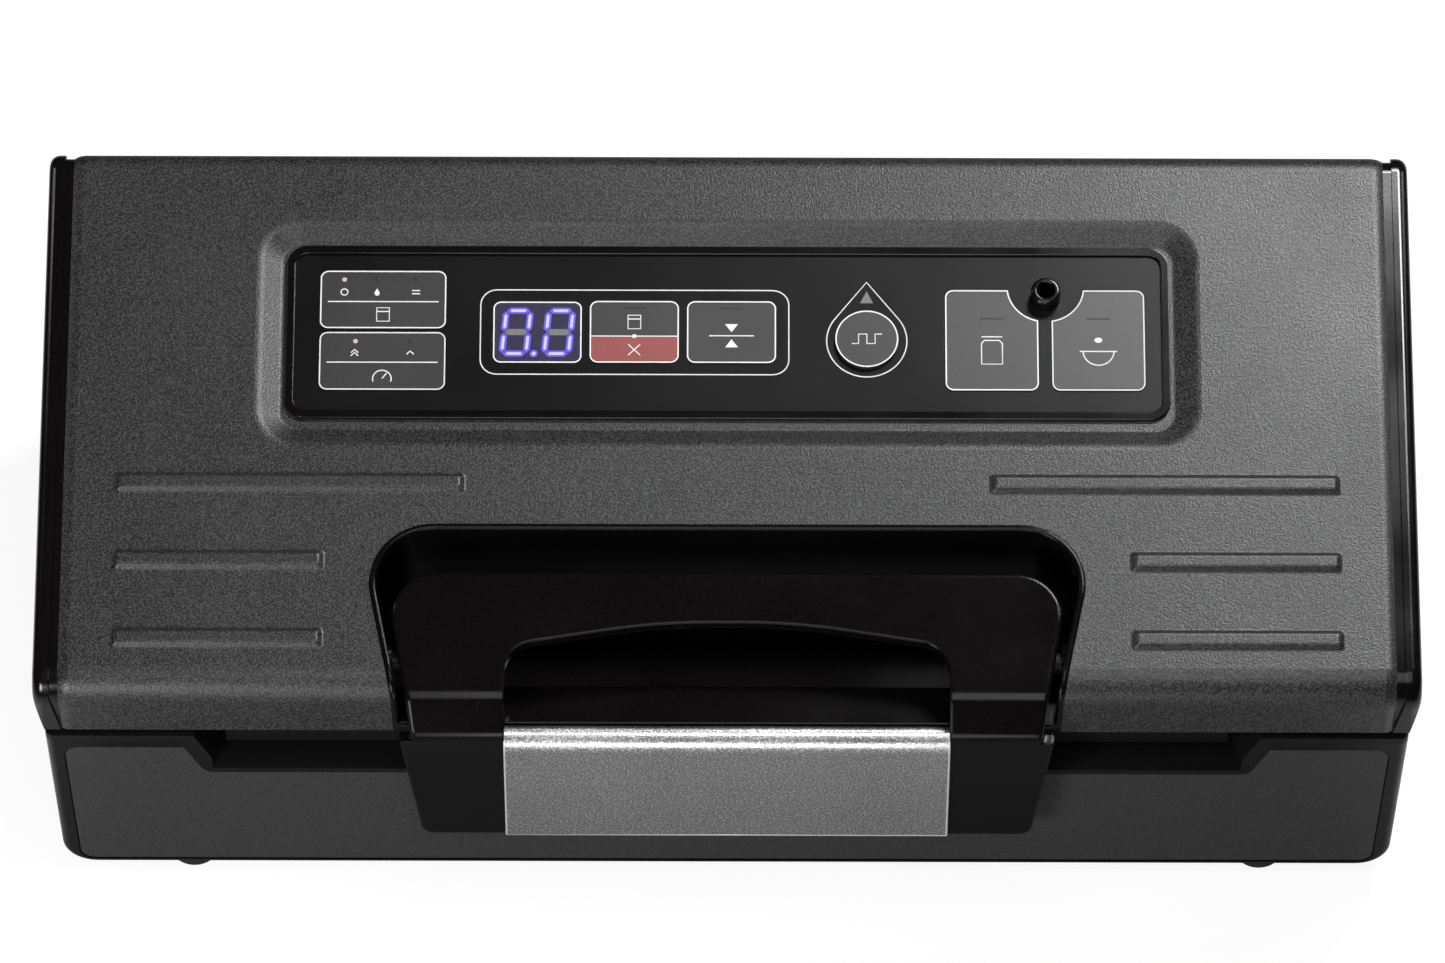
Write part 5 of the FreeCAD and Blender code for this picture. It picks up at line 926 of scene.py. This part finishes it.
def add_sign(bm, sign, middle, size, level, thickness):
    """One sign, scaled to a size around its middle."""

    def spread(points):
        return [(middle[0] + size * across, middle[1] + size * upward) for across, upward in points]

    for points in SIGNS[sign].get("lines", []):
        add_stroke(bm, spread(points), level)
    for points in SIGNS[sign].get("closed", []):
        add_stroke(bm, spread(points), level, closed=True)
    for points in SIGNS[sign].get("filled", []):
        add_plate(bm, spread(points), level, thickness)


class SEALER_OT_key_signs(bpy.types.Operator):
    """Signs, dividing lines and the red half of the vacuum key"""

    bl_idname = "sealer.key_signs"
    bl_label = "Key signs"

    def execute(self, context):
        sizes = context.scene.sealer_print
        for node, signs in KEY_SIGNS.items():
            cap = key_cap(node)
            level = cap[1].z
            bm = bmesh.new()
            for sign, across, upward, kind in signs:
                middle = place_on(cap, across, upward)
                add_sign(bm, sign, middle, getattr(sizes, kind), level, sizes.thickness)
            if node in KEY_LINES:
                aside, upward = KEY_LINES[node]
                ends = [place_on(cap, aside, upward), place_on(cap, 1 - aside, upward)]
                add_stroke(bm, ends, level)
            lay_on_panel(bm)
            add_piece(f"{node}_signs", bm, "ink", node)
        self.add_stop_half(sizes)
        return {"FINISHED"}

    def add_stop_half(self, sizes):
        """Red print on the lower half of the vacuum key, with a white dot on the line above it."""
        cap = key_cap("vacuum_key")
        border = place_on(cap, 0.5, KEY_LINES["vacuum_key"][1])
        bm = upper_face("vacuum_key")
        every = bm.verts[:] + bm.edges[:] + bm.faces[:]
        bmesh.ops.bisect_plane(
            bm, geom=every, plane_co=(*border, 0), plane_no=(0, 1, 0), clear_outer=True
        )
        inset(bm, sizes.line)
        thicken(bm, sizes.thickness / 3)
        lay_on_panel(bm)
        add_piece("stop_half", bm, "stop_ink", "vacuum_key")
        bm = bmesh.new()
        add_plate(bm, circle(border, DOT_WIDTHS * sizes.line), cap[1].z, sizes.thickness)
        lay_on_panel(bm)
        add_piece("stop_dot", bm, "ink", "vacuum_key")


# The frame around the display group: its distance from display and keys, and its corners
FRAME_MARGIN = 3.9 * MM
FRAME_CORNER = 5 * MM
# The drop around the round key: its distance from the key, and its tip above the key's middle
DROP_MARGIN = 2.65 * MM
DROP_TIP = 20 * MM
# The arrow in the drop's tip: its distance from the drop's round part, half its width, and its height
ARROW_GAP = 0.6 * MM
ARROW_HALF = 2 * MM
ARROW_HEIGHT = 4 * MM


class SEALER_OT_panel_lines(bpy.types.Operator):
    """Lines on the face plate around the display group and the round key"""

    bl_idname = "sealer.panel_lines"
    bl_label = "Panel lines"

    def execute(self, context):
        sizes = context.scene.sealer_print
        level = reach("control_fascia")[1].z
        first = reach("display_window")[0]
        last = key_cap("seal_key")[1]
        bm = bmesh.new()
        outline = rounded(
            (first.x - FRAME_MARGIN, first.y - FRAME_MARGIN),
            (last.x + FRAME_MARGIN, last.y + FRAME_MARGIN),
            FRAME_CORNER,
        )
        add_stroke(bm, outline, level, closed=True)
        cap = key_cap("pulse_key")
        across, upward = place_on(cap, 0.5, 0.5)
        radius = (cap[1].x - cap[0].x) / 2 + DROP_MARGIN
        lean = math.degrees(math.acos(radius / DROP_TIP))
        round_part = arc((across, upward), radius, 90 - lean, -270 + lean, steps=48)
        add_stroke(bm, [(across, upward + DROP_TIP), *round_part], level, closed=True)
        lay_on_panel(bm)
        add_piece("panel_lines", bm, "ink", "lid")
        bm = bmesh.new()
        base = upward + radius + ARROW_GAP
        corners = [(across - ARROW_HALF, base), (across + ARROW_HALF, base), (across, base + ARROW_HEIGHT)]
        add_plate(bm, corners, level, sizes.thickness)
        lay_on_panel(bm)
        add_piece("pulse_arrow", bm, "grey_ink", "lid")
        return {"FINISHED"}


# Lamps as shares of the key's face, the first of each key lit
KEY_LAMPS = {
    "mode_key": [(0.19, 0.846), (0.453, 0.846), (0.765, 0.846)],
    "pressure_key": [(0.286, 0.841), (0.726, 0.841)],
}
# A lamp's height as a share of its radius
LAMP_BULGE = 0.3
# How high the dark dashes stand on their keys and from where to where they run, as shares of the face
KEY_DASHES = {"vacuum_key": 0.885, "seal_key": 0.885, "canister_key": 0.715, "marinate_key": 0.715}
DASH_SPAN = (0.37, 0.63)
DASH_HALF = 0.3 * MM


class SEALER_OT_lamps(bpy.types.Operator):
    """Indicator lamps, lit and unlit, and the dark dashes of other keys"""

    bl_idname = "sealer.lamps"
    bl_label = "Lamps"

    def execute(self, context):
        sizes = context.scene.sealer_print
        for node, spots in KEY_LAMPS.items():
            cap = key_cap(node)
            for number, spot in enumerate(spots):
                across, upward = place_on(cap, *spot)
                bm = bmesh.new()
                flat = Matrix.Diagonal((1, 1, LAMP_BULGE, 1))
                place = Matrix.Translation((across, upward, cap[1].z)) @ flat
                bmesh.ops.create_uvsphere(
                    bm, u_segments=20, v_segments=10, radius=sizes.lamp, matrix=place
                )
                lay_on_panel(bm)
                finish = "lamp_lit" if number == 0 else "dull_ink"
                add_piece(f"{node}_lamp_{number + 1}", bm, finish, node)
        for node, upward in KEY_DASHES.items():
            cap = key_cap(node)
            left, right = [place_on(cap, share, upward) for share in DASH_SPAN]
            bm = bmesh.new()
            outline = rounded(
                (left[0], left[1] - DASH_HALF), (right[0], right[1] + DASH_HALF), DASH_HALF / 2, steps=3
            )
            add_plate(bm, outline, cap[1].z, sizes.thickness / 2)
            lay_on_panel(bm)
            add_piece(f"{node}_dash", bm, "dull_ink", node)
        return {"FINISHED"}


# Bars of a digit: middle as shares of the digit's width and height, and whether it stands
DIGIT_BARS = {
    "top": (0.5, 1.0, False),
    "upper_right": (1.0, 0.75, True),
    "lower_right": (1.0, 0.25, True),
    "bottom": (0.5, 0.0, False),
    "lower_left": (0.0, 0.25, True),
    "upper_left": (0.0, 0.75, True),
    "middle": (0.5, 0.5, False),
}
UNLIT_BARS = ("middle",)
DIGIT_SLANT = 0.09
# Middles of the digits and of the point between them, as shares of the window's width
DIGIT_PLACES = (0.26, 0.74)
POINT_PLACE = 0.485
# Distance between a digit's bars, and the bright core's width as a share of a bar's
BAR_GAP = 0.35 * MM
CORE_SHARE = 0.42
# Radius of the point and of its bright core, as shares of a bar's width
POINT_SHARE = 0.6
POINT_CORE_SHARE = 0.3


def bar_outline(middle, length, width, stands):
    """A pointed bar of a digit, given by its six corners."""
    half = length / 2
    side = width / 2
    shoulder = half - side
    lower = [(-half, 0), (-shoulder, -side), (shoulder, -side)]
    points = lower + [(half, 0), (shoulder, side), (-shoulder, side)]
    if stands:
        points = [(-upward, across) for across, upward in points]
    return [(middle[0] + across, middle[1] + upward) for across, upward in points]


class SEALER_OT_display(bpy.types.Operator):
    """Two lit digits and the point between them"""

    bl_idname = "sealer.display"
    bl_label = "Display"

    def execute(self, context):
        sizes = context.scene.sealer_print
        low, high = reach("display_window")
        level = high.z
        height, width, bar = sizes.digit_height, sizes.digit_width, sizes.digit_bar
        middle = (low.y + high.y) / 2
        layers = {"digit_glow": bmesh.new(), "digit_core": bmesh.new(), "grey_ink": bmesh.new()}

        def slant(points):
            return [(across + DIGIT_SLANT * (upward - middle), upward) for across, upward in points]

        for share in DIGIT_PLACES:
            left = low.x + share * (high.x - low.x) - width / 2
            for name, (across, upward, stands) in DIGIT_BARS.items():
                spot = (left + across * width, middle + (upward - 0.5) * height)
                length = (height / 2 if stands else width) - BAR_GAP
                wide = slant(bar_outline(spot, length, bar, stands))
                slim = slant(bar_outline(spot, length - bar, bar * CORE_SHARE, stands))
                if name in UNLIT_BARS:
                    add_plate(layers["grey_ink"], wide, level, sizes.thickness / 2)
                else:
                    add_plate(layers["digit_glow"], wide, level, sizes.thickness / 2)
                    add_plate(layers["digit_core"], slim, level, sizes.thickness)
        point = (low.x + POINT_PLACE * (high.x - low.x), middle - height / 2)
        wide = slant(circle(point, bar * POINT_SHARE))
        slim = slant(circle(point, bar * POINT_CORE_SHARE))
        add_plate(layers["digit_glow"], wide, level, sizes.thickness / 2)
        add_plate(layers["digit_core"], slim, level, sizes.thickness)
        for finish, bm in layers.items():
            lay_on_panel(bm)
            add_piece(f"display_{finish}", bm, finish, "lid")
        return {"FINISHED"}


# Studio


# The photograph's width, and where the lid's front edge stands from its middle, both in pixels
PHOTO_WIDTH = 1445
EDGE_IN_PHOTO = (5.1, -249.6)
SENSOR_WIDTH = 36.0
# Each lamp's place, what it points at, the sides of its face and the setting of its power
LAMPS = {
    "right_lamp": ((0.40, 0.48, 1.0), (0.1, 0.0, 0.1), (0.36, 0.26), "right_power"),
    "top_lamp": ((0.06, -0.38, 1.1), (0.06, -0.38, 0.0), (0.4, 0.7), "top_power"),
    "left_lamp": ((-0.4, -0.65, 0.36), (-0.12, -0.1, 0.08), (0.24, 0.24), "left_power"),
    "front_lamp": ((0.0, -0.75, 0.15), (0.0, -0.09, 0.05), (0.22, 0.22), "front_power"),
    "right_edge_lamp": ((0.95, 0.48, 0.62), (0.2, 0.0, 0.1), (0.1, 0.5), "edge_power"),
    "left_edge_lamp": ((-0.95, 0.48, 0.62), (-0.2, 0.0, 0.1), (0.1, 0.5), "edge_power"),
}
# The floor's own colour under the lamps, its roughness and how white it shows itself
FLOOR_GREY = 0.18
FLOOR_ROUGHNESS = 0.8
FLOOR_GLOW = 0.88
# How far out the floor shows in gloss: full up to the first distance, none from the second
FLOOR_REACH = (0.3, 0.55)
# Where the floor's middle strip, in front of the sealer, turns into the brighter floor beside it
FLOOR_SIDES = (0.19, 0.24)
# How strongly the middle strip and the floor beside it show in gloss
FLOOR_IN_GLOSS = (0.08, 0.9)


def near_middle(nodes, links, place):
    """How strongly the floor shows in gloss: little before the sealer, more beside it, none far out."""

    def ranged(value, start, end):
        node = nodes.new("ShaderNodeMapRange")
        node.inputs["From Min"].default_value, node.inputs["From Max"].default_value = start
        node.inputs["To Min"].default_value, node.inputs["To Max"].default_value = end
        links.new(value, node.inputs["Value"])
        return node.outputs["Result"]

    away = nodes.new("ShaderNodeVectorMath")
    away.operation = "LENGTH"
    links.new(place, away.inputs[0])
    parts = nodes.new("ShaderNodeSeparateXYZ")
    links.new(place, parts.inputs[0])
    aside = nodes.new("ShaderNodeMath")
    aside.operation = "ABSOLUTE"
    links.new(parts.outputs["X"], aside.inputs[0])
    both = nodes.new("ShaderNodeMath")
    both.operation = "MULTIPLY"
    links.new(ranged(away.outputs["Value"], FLOOR_REACH, (1.0, 0.0)), both.inputs[0])
    links.new(ranged(aside.outputs[0], FLOOR_SIDES, FLOOR_IN_GLOSS), both.inputs[1])
    return both.outputs[0]


def seen_rays(nodes, links, near):
    """1 for rays straight from the camera, and the share called near for rays in gloss or glass."""

    def joined(operation, first, second):
        node = nodes.new("ShaderNodeMath")
        node.operation = operation
        links.new(first, node.inputs[0])
        links.new(second, node.inputs[1])
        return node.outputs[0]

    path = nodes.new("ShaderNodeLightPath")
    mirrored = joined("MAXIMUM", path.outputs["Is Glossy Ray"], path.outputs["Is Transmission Ray"])
    return joined("MAXIMUM", path.outputs["Is Camera Ray"], joined("MULTIPLY", mirrored, near))


class SEALER_OT_studio(bpy.types.Operator):
    """Pale floor, soft lamps and the camera"""

    bl_idname = "sealer.studio"
    bl_label = "Studio"

    def execute(self, context):
        setup = context.scene.sealer_studio
        self.add_floor(setup)
        self.add_world(setup)
        for name, (place, target, sides, power) in LAMPS.items():
            self.add_lamp(name, place, target, sides, getattr(setup, power))
        self.add_camera(setup)
        context.scene.view_settings.view_transform = "Standard"
        return {"FINISHED"}

    def add_floor(self, setup):
        """A pale floor that shows near white and keeps the object's shadow."""
        bm = bmesh.new()
        bmesh.ops.create_grid(bm, x_segments=1, y_segments=1, size=setup.floor / 2)
        mesh = bpy.data.meshes.new("floor")
        bm.to_mesh(mesh)
        bm.free()
        floor = bpy.data.objects.new("floor", mesh)
        bpy.context.scene.collection.objects.link(floor)
        material, shader, place = new_material("pale_floor")
        nodes, links = material.node_tree.nodes, material.node_tree.links
        shader.inputs["Base Color"].default_value = (*grey(FLOOR_GREY), 1)
        shader.inputs["Roughness"].default_value = FLOOR_ROUGHNESS
        shader.inputs["Emission Color"].default_value = (1, 1, 1, 1)
        seen = seen_rays(nodes, links, near_middle(nodes, links, place))
        dimmed = nodes.new("ShaderNodeMath")
        dimmed.operation = "MULTIPLY"
        dimmed.inputs[1].default_value = FLOOR_GLOW
        links.new(seen, dimmed.inputs[0])
        links.new(dimmed.outputs[0], shader.inputs["Emission Strength"])
        mesh.materials.append(material)

    def add_world(self, setup):
        """A dim grey light from all around."""
        world = bpy.data.worlds.new("studio")
        bpy.context.scene.world = world
        world.use_nodes = True
        background = world.node_tree.nodes["Background"]
        background.inputs["Color"].default_value = (1, 1, 1, 1)
        background.inputs["Strength"].default_value = setup.ambient

    def add_lamp(self, name, place, target, sides, power):
        """A soft lamp with a rectangular face that points at a target."""
        data = bpy.data.lights.new(name, "AREA")
        data.shape = "RECTANGLE"
        data.size, data.size_y = sides
        data.energy = power
        lamp = bpy.data.objects.new(name, data)
        bpy.context.scene.collection.objects.link(lamp)
        lamp.location = place
        lamp.visible_camera = False
        lamp.rotation_mode = "QUATERNION"
        lamp.rotation_quaternion = (Vector(target) - Vector(place)).to_track_quat("-Z", "Y")

    def add_camera(self, setup):
        """A long lens that looks down at the lid's front edge from the front."""
        data = bpy.data.cameras.new("camera")
        data.sensor_fit = "HORIZONTAL"
        data.sensor_width = SENSOR_WIDTH
        data.lens = setup.lens
        ahead = Vector((0, math.cos(setup.pitch), -math.sin(setup.pitch)))
        above = Vector((0, math.sin(setup.pitch), math.cos(setup.pitch)))
        right = Vector((1, 0, 0))
        low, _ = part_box("lid_skin")
        edge = Vector((0, low.y, low.z))
        shift = Vector(EDGE_IN_PHOTO) * (data.sensor_width / PHOTO_WIDTH / data.lens * setup.distance)
        place = edge - ahead * setup.distance - right * shift.x - above * shift.y
        turn = Matrix((right, above, -ahead)).transposed() @ Matrix.Rotation(setup.roll, 3, "Z")
        camera = bpy.data.objects.new("camera", data)
        bpy.context.scene.collection.objects.link(camera)
        camera.matrix_world = Matrix.Translation(place) @ turn.to_4x4()
        bpy.context.scene.camera = camera


class SEALER_PT_panel(bpy.types.Panel):
    """Steps that dress the sealer"""

    bl_label = "Vacuum sealer"
    bl_idname = "SEALER_PT_panel"
    bl_space_type = "VIEW_3D"
    bl_region_type = "UI"
    bl_category = "Sealer"

    def draw(self, context):
        for step in STEPS:
            self.layout.operator(step.bl_idname)


STEPS = (
    SEALER_OT_finishes,
    SEALER_OT_grip_edge,
    SEALER_OT_key_outlines,
    SEALER_OT_key_signs,
    SEALER_OT_panel_lines,
    SEALER_OT_lamps,
    SEALER_OT_display,
    SEALER_OT_studio,
)
SETTINGS = {
    "sealer_colours": SealerColours,
    "sealer_print": SealerPrint,
    "sealer_grip": SealerGrip,
    "sealer_studio": SealerStudio,
}


def register():
    """Make the settings, steps and panel known."""
    for name, kind in SETTINGS.items():
        bpy.utils.register_class(kind)
        setattr(bpy.types.Scene, name, PointerProperty(type=kind))
    for kind in (*STEPS, SEALER_PT_panel):
        bpy.utils.register_class(kind)


def unregister():
    """Take the settings, steps and panel away."""
    for kind in (SEALER_PT_panel, *reversed(STEPS)):
        bpy.utils.unregister_class(kind)
    for name, kind in SETTINGS.items():
        delattr(bpy.types.Scene, name)
        bpy.utils.unregister_class(kind)


def main():
    """Dress the sealer step by step."""
    register()
    for step in STEPS:
        space, name = step.bl_idname.split(".")
        getattr(getattr(bpy.ops, space), name)()


if __name__ == "__main__":
    main()
